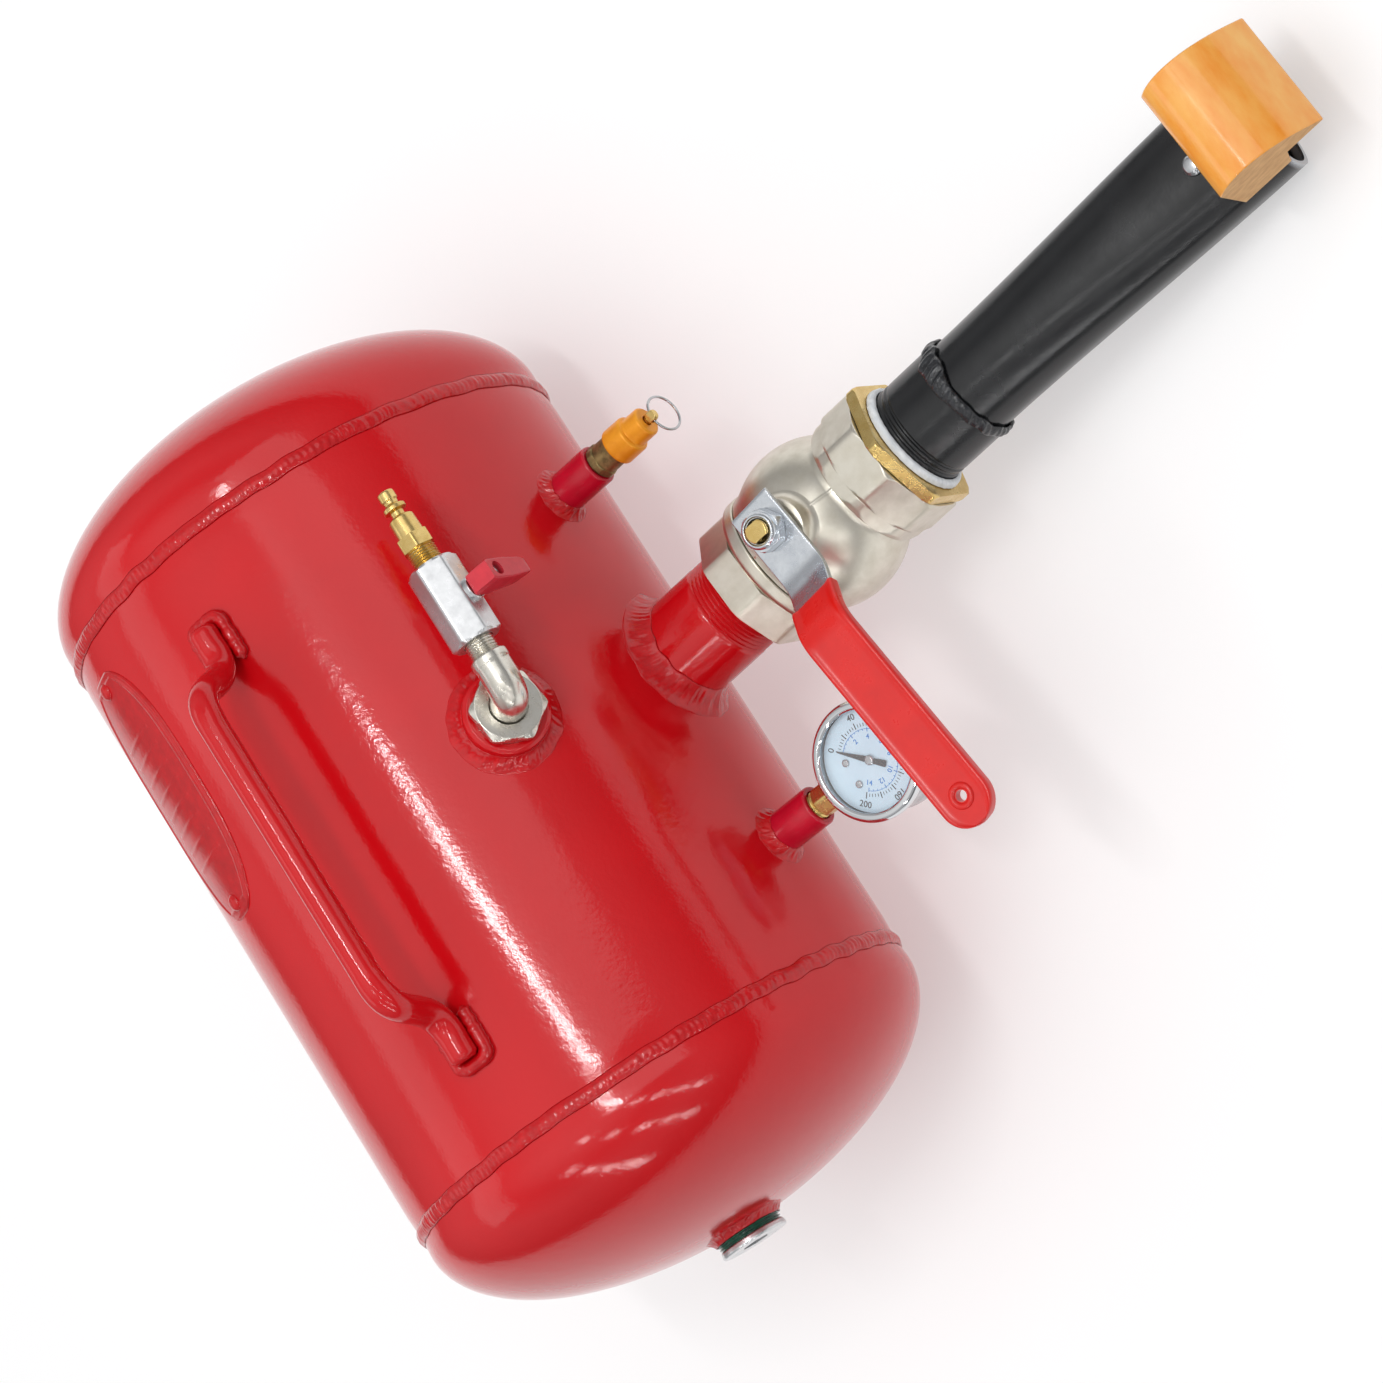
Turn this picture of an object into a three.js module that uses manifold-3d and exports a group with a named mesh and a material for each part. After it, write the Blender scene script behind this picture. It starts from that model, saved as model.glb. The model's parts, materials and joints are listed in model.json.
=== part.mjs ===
// Tyre bead seater: a portable air tank that dumps its charge through a quick-opening ball
// valve and a flattened nozzle, so that a loose tyre bead jumps onto its rim.
// Millimetres. Tool frame: X along the outlet, Y along the tank, Z up through the handle.
// The finished tool is rolled about Y until the nozzle rests on the floor beside the tank.

import * as THREE from 'three';
import { mergeVertices } from 'three/addons/utils/BufferGeometryUtils.js';
import Module from 'manifold-3d';

// ---------------------------------------------------------------- driving dimensions

const GAP = 0.3;             // air left between two fitted pieces
const SLIP = 0.4;            // air left around a piece that turns or slides

const TANK_DIA = 250;
const TANK_LEN = 300;        // between the two seam welds
const TANK_WALL = 3;
const HEAD_SKIRT = 9;
const HEAD_DOME = 61;
const SEAM_WIDTH = 8;
const SEAM_RISE = 2;
const TANK_SIDES = 40;

const GRIP_DIA = 13;
const GRIP_STANDOFF = 40;    // tank skin to the middle of the grip bar
const GRIP_LEN = 154;
const GRIP_FOOT = 23;        // straight end that lies along the tank
const GRIP_SPREAD = 10;      // how far each leg leans outwards
const GRIP_TURN = 88;        // degrees round the tank from the outlet

const PLATE_LEN = 126;
const PLATE_WIDTH = 61;
const PLATE_TURN = 125;
const PLATE_SHIFT = 70;
const PLATE_THICK = 0.8;

const PIPE_DIA = 47.8;       // inch-and-a-half pipe
const PIPE_WALL = 3.8;
const OUTLET_LEAN = 3.7;     // degrees off square, towards the plain head
const NIPPLE_REACH = 47;     // tank skin to the valve
const VALVE_LEN = 96;
const VALVE_ROUND = 76;
const VALVE_OCT = 62;        // across flats at the outlet end
const CAP_OCT = 59;          // across flats at the tank end
const CAP_FLANGE = 67;
const BALL_DIA = 53;
const BORE_DIA = 38;
const STEM_DIA = 14;
const STEM_TIP = 5.2;        // radius of the end that carries the lever and its nut
const STEM_FLAT = 7.6;       // across the two flats that drive the lever
const STEM_SET = 46;         // valve end face to the stem
const BUSH_AF = 60;
const BUSH_THICK = 5.5;

const LEVER_WIDTH = 22;
const LEVER_THICK = 3;
const LEVER_REACH = 158;     // stem to lever tip
const LEVER_FLAT = 26;
const LEVER_RUN = 26;
const LEVER_RISE = 21;
const LEVER_HEIGHT = 48.5;   // bore axis to the underside of the lever
const LEVER_SET = 3.3;       // degrees the lever sits short of square
const SLEEVE_GROW = 1.5;     // vinyl thickness on each side of the lever

const COLLAR_LEN = 40;       // black pipe outside the bush
const BARREL_LEN = 172;
const BARREL_STEP = 1.4;      // how far the nozzle tube stands inside the collar pipe
const BARREL_DIA = PIPE_DIA - 2 * BARREL_STEP;
const BARREL_WALL = 2;
const MOUTH_WIDE = 53;
const MOUTH_HIGH = 33;

const PAD_WIDE = 53;
const PAD_SETBACK = 23.5;    // mouth back to the rear foot of the pad
const PAD_HIGH = 41;
const PULL_RING = 17;

const SOCKET_DIA = 19;       // quarter-inch half coupling
const SOCKET_REACH = 25;
const SOCKET_TURN = 5;
const SAFETY_SHIFT = 87;
const GAUGE_SHIFT = -93;
const GAUGE_DIA = 50;
const GAUGE_DEEP = 25;
const GAUGE_REACH = 62.5;     // tank skin to the middle of the dial

const INLET_TURN = 47;
const INLET_SHIFT = 4.5;
const INLET_BOSS_DIA = 38;
const INLET_HEX = 30;
const INLET_AXIS = 33;       // tank skin to the axis of the small valve
const ELBOW_DIA = 16;
const MINI_AF = 21;
const MINI_LEN = 39;
const MINI_START = 26.5;     // boss axis to the near end of the small valve
const PLUG_LEN = 37.5;

const DRAIN_DIA = 32;
const DRAIN_STAND = 9;       // how far the plug face stands off the dome

// ---------------------------------------------------------------- derived sizes

const R = TANK_DIA / 2;
const RAD = Math.PI / 180;
const PIPE_R = PIPE_DIA / 2;
const PIPE_BORE = PIPE_R - PIPE_WALL;
const VALVE_START = NIPPLE_REACH;
const VALVE_END = VALVE_START + VALVE_LEN;
const STEM_Z = VALVE_START + STEM_SET;
const BUSH_TOP = VALVE_END + GAP + BUSH_THICK;
const COLLAR_END = BUSH_TOP + COLLAR_LEN - 6;
const BARREL_START = COLLAR_END + GAP;
const BARREL_END = BARREL_START + BARREL_LEN;
const PAD_FOOT_Z = BARREL_END - PAD_SETBACK;
const PAD_SCREW_Z = PAD_FOOT_Z - 7.5;
const FIXING_Z = PAD_FOOT_Z + PAD_SETBACK / 2;

// ---------------------------------------------------------------- finishes

const finish = (hex, roughness, metalness, extra = {}) =>
  new THREE.MeshStandardMaterial({ color: hex, roughness, metalness, ...extra });

const RED = finish('#c0141b', 0.22, 0.0);
const SOCKET_RED = finish('#b5122a', 0.3, 0.0);
const NICKEL = finish('#c6c1b4', 0.38, 1.0);
const STEEL = finish('#b8bcc0', 0.3, 1.0);
const ZINC = finish('#bfc4c8', 0.28, 1.0);
const BRASS = finish('#c2a052', 0.32, 1.0);
const DARK_BRASS = finish('#8d7446', 0.45, 1.0);
const BLACK = finish('#26282b', 0.35, 0.0);
const AMBER = finish('#f0a021', 0.35, 0.0);
const VINYL = finish('#d8342d', 0.4, 0.0);
const WING = finish('#b8303a', 0.4, 0.0);
const ORANGE = finish('#e8962f', 0.4, 0.0);
const TAPE = finish('#eceef0', 0.6, 0.0);
const SEALANT = finish('#2f6b52', 0.5, 0.0);
const DIAL = finish('#dfe9ec', 0.5, 0.0);
const LENS = finish('#f4f8fa', 0.05, 0.0, { transparent: true, opacity: 0.25 });
const POINTER = finish('#111214', 0.4, 0.0);

// ---------------------------------------------------------------- solid helpers

const wasm = await Module();
wasm.setup();

// Weld coincident points, drop empty triangles and turn every face outwards.
function clean(geometry) {
  for (const name of Object.keys(geometry.attributes)) {
    if (name !== 'position') geometry.deleteAttribute(name);
  }
  const merged = mergeVertices(geometry, 1e-4);
  const p = merged.attributes.position;
  const from = merged.index.array;
  const to = [];
  const a = new THREE.Vector3(), b = new THREE.Vector3(), c = new THREE.Vector3();
  let volume = 0;
  for (let i = 0; i < from.length; i += 3) {
    const [u, v, w] = [from[i], from[i + 1], from[i + 2]];
    if (u === v || v === w || w === u) continue;
    to.push(u, v, w);
    a.fromBufferAttribute(p, u); b.fromBufferAttribute(p, v); c.fromBufferAttribute(p, w);
    volume += a.dot(b.cross(c));
  }
  if (volume < 0) to.reverse();
  merged.setIndex(to);
  return merged;
}

function toSolid(geometry) {
  const g = clean(geometry);
  return new wasm.Manifold(new wasm.Mesh({
    numProp: 3,
    vertProperties: new Float32Array(g.attributes.position.array),
    triVerts: new Uint32Array(g.index.array),
  }));
}

function fromSolid(solid) {
  const mesh = solid.getMesh();
  const g = new THREE.BufferGeometry();
  g.setAttribute('position', new THREE.BufferAttribute(new Float32Array(mesh.vertProperties), 3));
  g.setIndex(Array.from(mesh.triVerts));
  return g;
}

const cut = (base, ...tools) => fromSolid(
  tools.reduce((solid, tool) => solid.subtract(toSolid(tool)), toSolid(base)));
const join = (base, ...more) => fromSolid(
  more.reduce((solid, next) => solid.add(toSolid(next)), toSolid(base)));
const common = (a, b) => fromSolid(toSolid(a).intersect(toSolid(b)));

// A turned solid about local Z; the profile is a list of [radius, height].
function turned(profile, sides = 26, phase = 0) {
  const pts = profile.map(([r, z]) => new THREE.Vector2(r, z));
  return clean(new THREE.LatheGeometry(pts, sides).rotateY(phase).rotateX(Math.PI / 2));
}

// A turned solid whose profile is a closed loop clear of the axis.
const ringOf = (loop, sides = 26, phase = 0) => turned([...loop, loop[0]], sides, phase);
const disc = (r, z0, z1, sides = 20, phase = 0) =>
  turned([[0, z0], [r, z0], [r, z1], [0, z1]], sides, phase);
const tube = (r0, r1, z0, z1, sides = 20, phase = 0) =>
  ringOf([[r0, z0], [r1, z0], [r1, z1], [r0, z1]], sides, phase);
const flats = (af, n) => af / 2 / Math.cos(Math.PI / n);
const hexBar = (af, z0, z1) => disc(flats(af, 6), z0, z1, 6, Math.PI / 6);
const block = (w, d, h, x = 0, y = 0, z = 0) =>
  clean(new THREE.BoxGeometry(w, d, h).translate(x, y, z));
const alongY = (g) => g.rotateX(-Math.PI / 2);
const upwards = (g) => g.rotateY(-Math.PI / 2);   // local Z to the outlet's up, which is -X

// Skin a row of equal closed loops; either the row closes too, or both ends are capped.
function skinned(loops, closed) {
  const n = loops[0].length;
  const m = loops.length;
  const index = [];
  const quad = (a, b, c, d) => index.push(a, b, c, a, c, d);
  for (let i = 0; i < (closed ? m : m - 1); i++) {
    const j = (i + 1) % m;
    for (let k = 0; k < n; k++) {
      const l = (k + 1) % n;
      quad(i * n + k, i * n + l, j * n + l, j * n + k);
    }
  }
  if (!closed) {
    const last = (m - 1) * n;
    for (let k = 0; k < n / 2 - 1; k++) {
      quad(n - 1 - k, n - 2 - k, k + 1, k);
      quad(last + k, last + k + 1, last + n - 2 - k, last + n - 1 - k);
    }
  }
  const g = new THREE.BufferGeometry();
  const flat = loops.flat().flatMap((p) => [p.x, p.y, p.z]);
  g.setAttribute('position', new THREE.BufferAttribute(new Float32Array(flat), 3));
  g.setIndex(index);
  return clean(g);
}

// A path through the given corners with each corner rounded.
function bentPath(corners, radius) {
  const path = new THREE.CurvePath();
  let from = corners[0].clone();
  for (let i = 1; i < corners.length - 1; i++) {
    const c = corners[i];
    const back = corners[i - 1].clone().sub(c).setLength(radius).add(c);
    const on = corners[i + 1].clone().sub(c).setLength(radius).add(c);
    path.add(new THREE.LineCurve3(from, back));
    path.add(new THREE.QuadraticBezierCurve3(back, c, on));
    from = on;
  }
  path.add(new THREE.LineCurve3(from, corners[corners.length - 1].clone()));
  return path;
}

function rod(path, radius, steps, sides = 12) {
  const circle = new THREE.Shape();
  circle.absarc(0, 0, radius, 0, 2 * Math.PI);
  return clean(new THREE.ExtrudeGeometry(circle, {
    steps, curveSegments: sides, bevelEnabled: false, extrudePath: path,
  }));
}

// A sheet shape drawn in local XY and given a thickness upwards from z0.
function sheet(points, z0, thick) {
  const s = new THREE.Shape(points.map(([x, y]) => new THREE.Vector2(x, y)));
  const g = new THREE.ExtrudeGeometry(s, { depth: thick, bevelEnabled: false });
  return clean(g.translate(0, 0, z0));
}

function add(group, name, geometry, material) {
  const mesh = new THREE.Mesh(geometry, material);
  mesh.name = name;
  group.add(mesh);
  return mesh;
}

// ---------------------------------------------------------------- frames on the tank

// Local Z points out of the tank, local Y runs along it, and z = 0 is the tank skin.
function station(turn, shift, lean = 0) {
  const g = new THREE.Group();
  const a = turn * RAD;
  const out = new THREE.Vector3(Math.cos(a), 0, Math.sin(a));
  const side = new THREE.Vector3(Math.sin(a), 0, -Math.cos(a));
  const along = new THREE.Vector3(0, 1, 0);
  g.quaternion.setFromRotationMatrix(new THREE.Matrix4().makeBasis(side, along, out));
  g.position.copy(out).multiplyScalar(R).setY(shift);
  g.rotateX(-lean * RAD);
  g.updateMatrix();
  return g;
}

// Height of the tank skin over a station's own base plane at local x, y.
function skinAt(g, x, y) {
  const foot = new THREE.Vector3(x, y, 0).applyMatrix4(g.matrix);
  const up = new THREE.Vector3(0, 0, 1).transformDirection(g.matrix);
  const a = up.x * up.x + up.z * up.z;
  const b = foot.x * up.x + foot.z * up.z;
  const c = foot.x * foot.x + foot.z * foot.z - R * R;
  return (-b + Math.sqrt(b * b - a * c)) / a;
}

const domeAt = (g, x, y) => {
  const q = Math.sqrt(1 - (x * x + y * y) / (R * R));
  return HEAD_DOME * (q - 1);
};

// A fillet weld round a fitting of radius r, following the surface it stands on.
function filletBead(g, r, leg, surface = skinAt, sides = 24) {
  const section = [[0, GAP], [0, leg], [0.4 * leg, 0.8 * leg], [0.8 * leg, 0.42 * leg], [leg, GAP]];
  const loops = [];
  for (let k = 0; k < sides; k++) {
    const t = (2 * Math.PI * k) / sides;
    loops.push(section.map(([dr, dz]) => {
      const q = r + GAP + dr;
      const x = q * Math.cos(t), y = q * Math.sin(t);
      return new THREE.Vector3(x, y, surface(g, x, y) + dz);
    }));
  }
  return skinned(loops, true);
}

// ---------------------------------------------------------------- tank

function headProfile(hole) {
  const curve = (steps, inset) => Array.from({ length: steps + 1 }, (_, i) => {
    const t = (i / steps) * (Math.PI / 2);
    return [(R - inset) * Math.sin(t), HEAD_SKIRT + (HEAD_DOME - inset) * Math.cos(t)];
  });
  const outer = curve(7, 0);
  const inner = curve(4, TANK_WALL);
  outer.push([R, GAP / 2]);
  inner.push([R - TANK_WALL, GAP / 2]);
  if (hole) {
    outer[0] = [hole, HEAD_SKIRT + HEAD_DOME * Math.sqrt(1 - (hole / R) ** 2)];
    inner[0][0] = hole;
  }
  const loop = [...outer, ...inner.reverse()];
  return hole ? [...loop, loop[0]] : loop;
}

function tank(group, phase, fittings) {
  const half = TANK_LEN / 2;
  const wall = alongY(tube(R - TANK_WALL, R, -half + GAP / 2, half - GAP / 2, TANK_SIDES, phase));
  const holes = fittings.map(([g, r]) =>
    disc(r, -4 * TANK_WALL, 3 * TANK_WALL, 20).applyMatrix4(g.matrix));
  add(group, 'tank_shell', cut(wall, ...holes), RED);
  const far = alongY(turned(headProfile(0), TANK_SIDES, phase)).translate(0, half, 0);
  add(group, 'head_plain', far, RED);
  const near = turned(headProfile(DRAIN_DIA / 2 + 0.5 + GAP), TANK_SIDES, -phase);
  add(group, 'head_drain', near.rotateX(Math.PI / 2).translate(0, -half, 0), RED);
  seamWelds(group, phase);
}

function seamWelds(group, phase) {
  const w = SEAM_WIDTH / 2;
  const k = 1 / Math.cos(Math.PI / TANK_SIDES);
  const crown = (R + SEAM_RISE) * k;
  const loop = [[R + GAP, -w], [crown - 0.7, -0.7 * w], [crown, -0.3 * w], [crown, 0.3 * w],
    [crown - 0.7, 0.7 * w], [R + GAP, w]];
  for (const [name, side] of [['seam_weld_plain', 1], ['seam_weld_drain', -1]]) {
    const bead = alongY(ringOf(loop, TANK_SIDES, phase)).translate(0, side * TANK_LEN / 2, 0);
    add(group, name, bead, RED);
  }
}

function drain(group) {
  const g = new THREE.Group();
  g.rotation.x = Math.PI / 2;
  g.position.y = -(TANK_LEN / 2 + HEAD_SKIRT + HEAD_DOME);
  group.add(g);
  const r = DRAIN_DIA / 2 + 0.5;
  const neck = 0.72 * r;
  const lip = DRAIN_STAND - 7.5;
  add(g, 'drain_boss', tube(neck + GAP, r, -2.5 * TANK_WALL, lip, 24), RED);
  add(g, 'drain_weld', filletBead(g, r, 3.2, domeAt, 20), RED);
  const face = DRAIN_STAND;
  const loop = [[neck + GAP, lip + GAP], [r - 1.6, lip + GAP], [r - 1, lip + 1.4], [r - 2, lip + 2.2],
    [r - 1, lip + 3], [r - 1.8, face - 3 - GAP], [neck + GAP, face - 3 - GAP]];
  add(g, 'drain_sealant', ringOf(loop, 20), SEALANT);
  const plug = turned([[0, -3.5 * TANK_WALL], [neck, -3.5 * TANK_WALL], [neck, face - 3],
    [r - 0.5, face - 3], [r, face - 2], [r - 0.4, face], [0, face]], 24);
  add(g, 'drain_plug', cut(plug, hexBar(12, face - 7, face + 1)), NICKEL);
}

function handle(group) {
  const g = station(GRIP_TURN, 0);
  group.add(g);
  const low = GRIP_DIA / 2 + GAP;
  const knee = GRIP_LEN / 2 + GRIP_SPREAD;
  const tip = knee + GRIP_FOOT;
  const at = (y, z) => new THREE.Vector3(0, y, z);
  const path = bentPath([at(-tip, low), at(-knee, low), at(-GRIP_LEN / 2, GRIP_STANDOFF),
    at(GRIP_LEN / 2, GRIP_STANDOFF), at(knee, low), at(tip, low)], 13);
  add(g, 'carry_handle', rod(path, GRIP_DIA / 2, 28, 6), RED);
  const bead = 3.2;
  const side = GRIP_DIA / 2 + bead - 0.2;
  for (const [name, s] of [['handle_weld_plain', 1], ['handle_weld_drain', -1]]) {
    const end = s * (tip + bead + GAP);
    const start = s * (knee + 1);
    const at2 = (x, y) => new THREE.Vector3(x, y, bead + GAP);
    const round = bentPath([at2(-side, start), at2(-side, end), at2(side, end), at2(side, start)], 5);
    add(g, name, rod(round, bead, 16, 3), RED);
  }
}

// Half width of the oval plate at a distance v from its middle.
const plateHalf = (v) => {
  const half = PLATE_LEN / 2;
  return 5 + (PLATE_WIDTH / 2 - 5) * Math.pow(Math.max(0, 1 - Math.pow(Math.abs(v) / half, 3)), 0.55);
};

function nameplate(group) {
  const rows = 14, cols = 6;
  const loops = [];
  for (let i = 0; i <= rows; i++) {
    const v = (PLATE_LEN / 2) * Math.sin((i / rows - 0.5) * Math.PI);
    const w = plateHalf(v);
    const line = (lift) => Array.from({ length: cols + 1 }, (_, j) => {
      const t = PLATE_TURN * RAD + (w * (2 * j / cols - 1)) / R;
      const q = R + lift;
      return new THREE.Vector3(q * Math.cos(t), PLATE_SHIFT + v, q * Math.sin(t));
    });
    loops.push([...line(GAP), ...line(GAP + PLATE_THICK).reverse()]);
  }
  const low = GAP + 0.35;
  const dome = turned([[0, low], [4, low], [4, low + 0.8], [3.4, low + 2.2], [1.5, low + 3],
    [0, low + 3.1]], 16);
  const rivets = [1, -1].map((s) => dome.clone().applyMatrix4(
    station(PLATE_TURN, PLATE_SHIFT + s * (PLATE_LEN / 2 - 7)).matrix));
  add(group, 'nameplate', join(skinned(loops, false), ...rivets), RED);
}

// ---------------------------------------------------------------- outlet and main valve

function threadedEnd(r, z0, z1, pitch) {
  const pts = [];
  for (let z = z0; z < z1 - pitch / 2; z += pitch) pts.push([r, z], [r - 0.9, z + pitch / 2]);
  return pts;
}

function outletPipe(g) {
  const top = VALVE_START + 12;
  const thread = threadedEnd(PIPE_R, VALVE_START - 15, VALVE_START, 2.31);
  const loop = [[PIPE_BORE, -TANK_WALL - 4], [PIPE_R, -TANK_WALL - 4], ...thread,
    [PIPE_R - 1, VALVE_START + 1], [PIPE_R - 1.5, top], [PIPE_BORE, top]];
  add(g, 'outlet_nipple', ringOf(loop, 26), RED);
  add(g, 'outlet_weld', filletBead(g, PIPE_R, 8.5, skinAt, 26), RED);
}

function mainValve(g) {
  const seatBack = BALL_DIA / 2 - 4.5;
  const pocket = BALL_DIA / 2 + 1.6;
  const capEnd = VALVE_START + 24;
  const face = STEM_Z - seatBack - GAP;
  const band = CAP_OCT / 2 - 0.6;
  const round = ringOf([[PIPE_R + GAP, VALVE_START], [band, VALVE_START], [band, VALVE_START + 17],
    [CAP_FLANGE / 2 - 1, VALVE_START + 17.4], [CAP_FLANGE / 2, VALVE_START + 19],
    [CAP_FLANGE / 2, capEnd], [pocket, capEnd], [pocket, face], [BORE_DIA / 2, face],
    [BORE_DIA / 2, VALVE_START + 14], [PIPE_R + GAP, VALVE_START + 14]], 30);
  const corner = flats(CAP_OCT, 8);
  const hollow = (PIPE_R + 2) / Math.cos(Math.PI / 8);
  const oct = ringOf([[hollow, VALVE_START], [corner - 0.8, VALVE_START],
    [corner, VALVE_START + 0.8], [corner, VALVE_START + 15.5], [hollow, VALVE_START + 15.5]],
  8, Math.PI / 8);
  add(g, 'main_valve_end_cap', join(round, oct), NICKEL);
  add(g, 'main_valve_body', valveBody(capEnd + GAP, pocket, seatBack), NICKEL);
  const lap = [0.92, 0.85, 0.78].map((f) => {
    const r = f * BALL_DIA / 2;
    return [r, Math.sqrt((BALL_DIA / 2 + 0.5) ** 2 - r * r)];
  });
  const seat = [[BORE_DIA / 2 + 1, seatBack], [pocket - 0.9, seatBack], [pocket - 0.9, lap[0][1]], ...lap];
  add(g, 'main_seat_outlet', ringOf(seat.map(([r, z]) => [r, STEM_Z + z]), 26), TAPE);
  add(g, 'main_seat_tank', ringOf(seat.map(([r, z]) => [r, STEM_Z - z]), 26), TAPE);
}

function valveBody(start, pocket, seatBack) {
  const round = VALVE_ROUND / 2;
  const outer = [[CAP_FLANGE / 2 - 1, start], [CAP_FLANGE / 2 - 0.4, start + 2]];
  for (const f of [-0.42, -0.2, 0, 0.2, 0.4, 0.58]) {
    outer.push([round * Math.sqrt(1 - f * f), STEM_Z + f * round]);
  }
  const neck = VALVE_END - 20;
  outer.push([VALVE_OCT / 2 - 2, neck], [VALVE_OCT / 2 - 2, VALVE_END]);
  const socket = PIPE_R + 4;
  const back = STEM_Z + seatBack + GAP;
  const inner = [[socket, VALVE_END], [socket, neck + 3], [BORE_DIA / 2 + 1, neck + 3],
    [BORE_DIA / 2 + 1, back], [pocket, back], [pocket, start]];
  const shell = ringOf([...outer, ...inner], 30);
  const corner = flats(VALVE_OCT, 8);
  const hollow = (socket + 0.2) / Math.cos(Math.PI / 8);
  const oct = ringOf([[hollow, neck + 2], [corner, neck + 2], [corner, VALVE_END - 1.5],
    [corner - 1, VALVE_END], [hollow, VALVE_END]], 8, Math.PI / 8);
  const boss = upwards(disc(13, pocket + 1.2, LEVER_HEIGHT - 4.5, 20));
  const bore = upwards(disc(STEM_DIA / 2 + SLIP, pocket - 3, LEVER_HEIGHT, 20));
  const at = (geometry) => geometry.translate(0, 0, STEM_Z);
  return cut(join(shell, oct, at(boss)), at(bore));
}

// The stem's own frame: local Z is the stem axis, local Y points back along the tank.
function stemFrame(g) {
  const s = new THREE.Group();
  s.rotation.y = -Math.PI / 2;
  s.position.z = STEM_Z;
  s.name = 'frame_stem';
  g.add(s);
  return s;
}

function ballAndStem(g) {
  const s = stemFrame(g);
  const r = BALL_DIA / 2;
  const way = alongY(disc(BORE_DIA / 2, -r - 2, r + 2, 20));
  const slot = block(2 * r, 8 + 2 * GAP, 10, 0, 0, r);
  const sphere = clean(new THREE.SphereGeometry(r, 24, 14).rotateX(Math.PI / 2));
  add(s, 'main_ball', cut(sphere, way, slot), STEEL);
  const tang = common(disc(STEM_DIA / 2, r - 5 + GAP, r + 1, 20), block(20, 8, 20, 0, 0, r));
  const foot = r + 0.6;
  const top = LEVER_HEIGHT + 14;
  const shaft = turned([[0, foot], [STEM_DIA / 2, foot], [STEM_DIA / 2, LEVER_HEIGHT - GAP],
    [STEM_TIP, LEVER_HEIGHT - GAP], [STEM_TIP, top - 0.5], [STEM_TIP - 0.4, top], [0, top]], 20);
  const flat = (y) => block(2 * STEM_DIA, 8, 17, 0, y, LEVER_HEIGHT + 8.5 - GAP);
  const trimmed = cut(shaft, flat(STEM_FLAT / 2 + 4), flat(-STEM_FLAT / 2 - 4));
  add(s, 'main_stem', join(trimmed, tang), BRASS);
  lever(s);
}

// A flat bar that follows the joggled line, as wide and thick as asked.
function joggledBar(start, end, width, thick, swell = 0) {
  const z = LEVER_HEIGHT + LEVER_THICK / 2;
  const bend = [[LEVER_FLAT, z], [LEVER_FLAT + LEVER_RUN, z + LEVER_RISE]];
  const slope = Math.atan2(LEVER_RISE, LEVER_RUN);
  const t = thick / 2;
  const mitre = t * Math.tan(slope / 2);
  const line = [];
  if (start < LEVER_FLAT) line.push([start, z, 0], [bend[0][0], z, mitre]);
  else {
    const f = (start - LEVER_FLAT) / LEVER_RUN;
    line.push([start, z + f * LEVER_RISE, t * Math.tan(slope)]);
  }
  line.push([bend[1][0], bend[1][1], mitre]);
  const tipR = width / 2;
  line.push([end - tipR, bend[1][1], 0]);
  const loops = line.map(([x, h, skew]) => barLoop(x, h, width + swell, t, skew));
  for (const q of [30, 55, 75, 88]) {
    const w = width * Math.cos(q * RAD);
    loops.push(barLoop(end - tipR + tipR * Math.sin(q * RAD), bend[1][1], Math.max(w, 1.5) + swell, t, 0));
  }
  return skinned(loops, false);
}

const barLoop = (x, h, width, t, skew) => {
  const w = width / 2;
  return [[-skew, t, -w], [-skew, t, w], [skew, -t, w], [skew, -t, -w]]
    .map(([dx, dz, dy]) => new THREE.Vector3(x + dx, dy, h + dz));
};

function lever(s) {
  const g = new THREE.Group();
  g.rotation.z = (-90 + LEVER_SET) * RAD;
  s.add(g);
  const hang = disc(3.2, LEVER_HEIGHT, LEVER_HEIGHT + 60, 16).translate(LEVER_REACH - 14, 0, 0);
  const bar = joggledBar(-14, LEVER_REACH - 2, LEVER_WIDTH, LEVER_THICK);
  const eye = common(disc(STEM_TIP + GAP, LEVER_HEIGHT - 2, LEVER_HEIGHT + 6, 20),
    block(2 * STEM_DIA, STEM_FLAT + 2 * GAP, 20, 0, 0, LEVER_HEIGHT));
  add(g, 'main_lever', cut(bar, eye.rotateZ((90 - LEVER_SET) * RAD), hang), ZINC);
  const coat = 2 * SLEEVE_GROW;
  const outer = joggledBar(LEVER_FLAT + 12, LEVER_REACH, LEVER_WIDTH, LEVER_THICK + coat, coat);
  const inner = joggledBar(LEVER_FLAT + 4, LEVER_REACH - 2 + GAP, LEVER_WIDTH,
    LEVER_THICK + 2 * GAP, 2 * GAP);
  add(g, 'lever_sleeve', cut(outer, inner, hang), VINYL);
  const low = LEVER_HEIGHT + LEVER_THICK + GAP;
  const hex = common(hexBar(17, low, low + 6.5), disc(9.5, low, low + 6.5, 20));
  const collar = turned([[0, low + 6], [8, low + 6], [8, low + 8], [7.4, low + 9.5], [0, low + 9.5]], 20);
  const bore = disc(STEM_TIP + GAP, low - 1, low + 12, 20);
  add(s, 'lever_nut', cut(join(hex, collar), bore), ZINC);
}

// ---------------------------------------------------------------- nozzle

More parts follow.
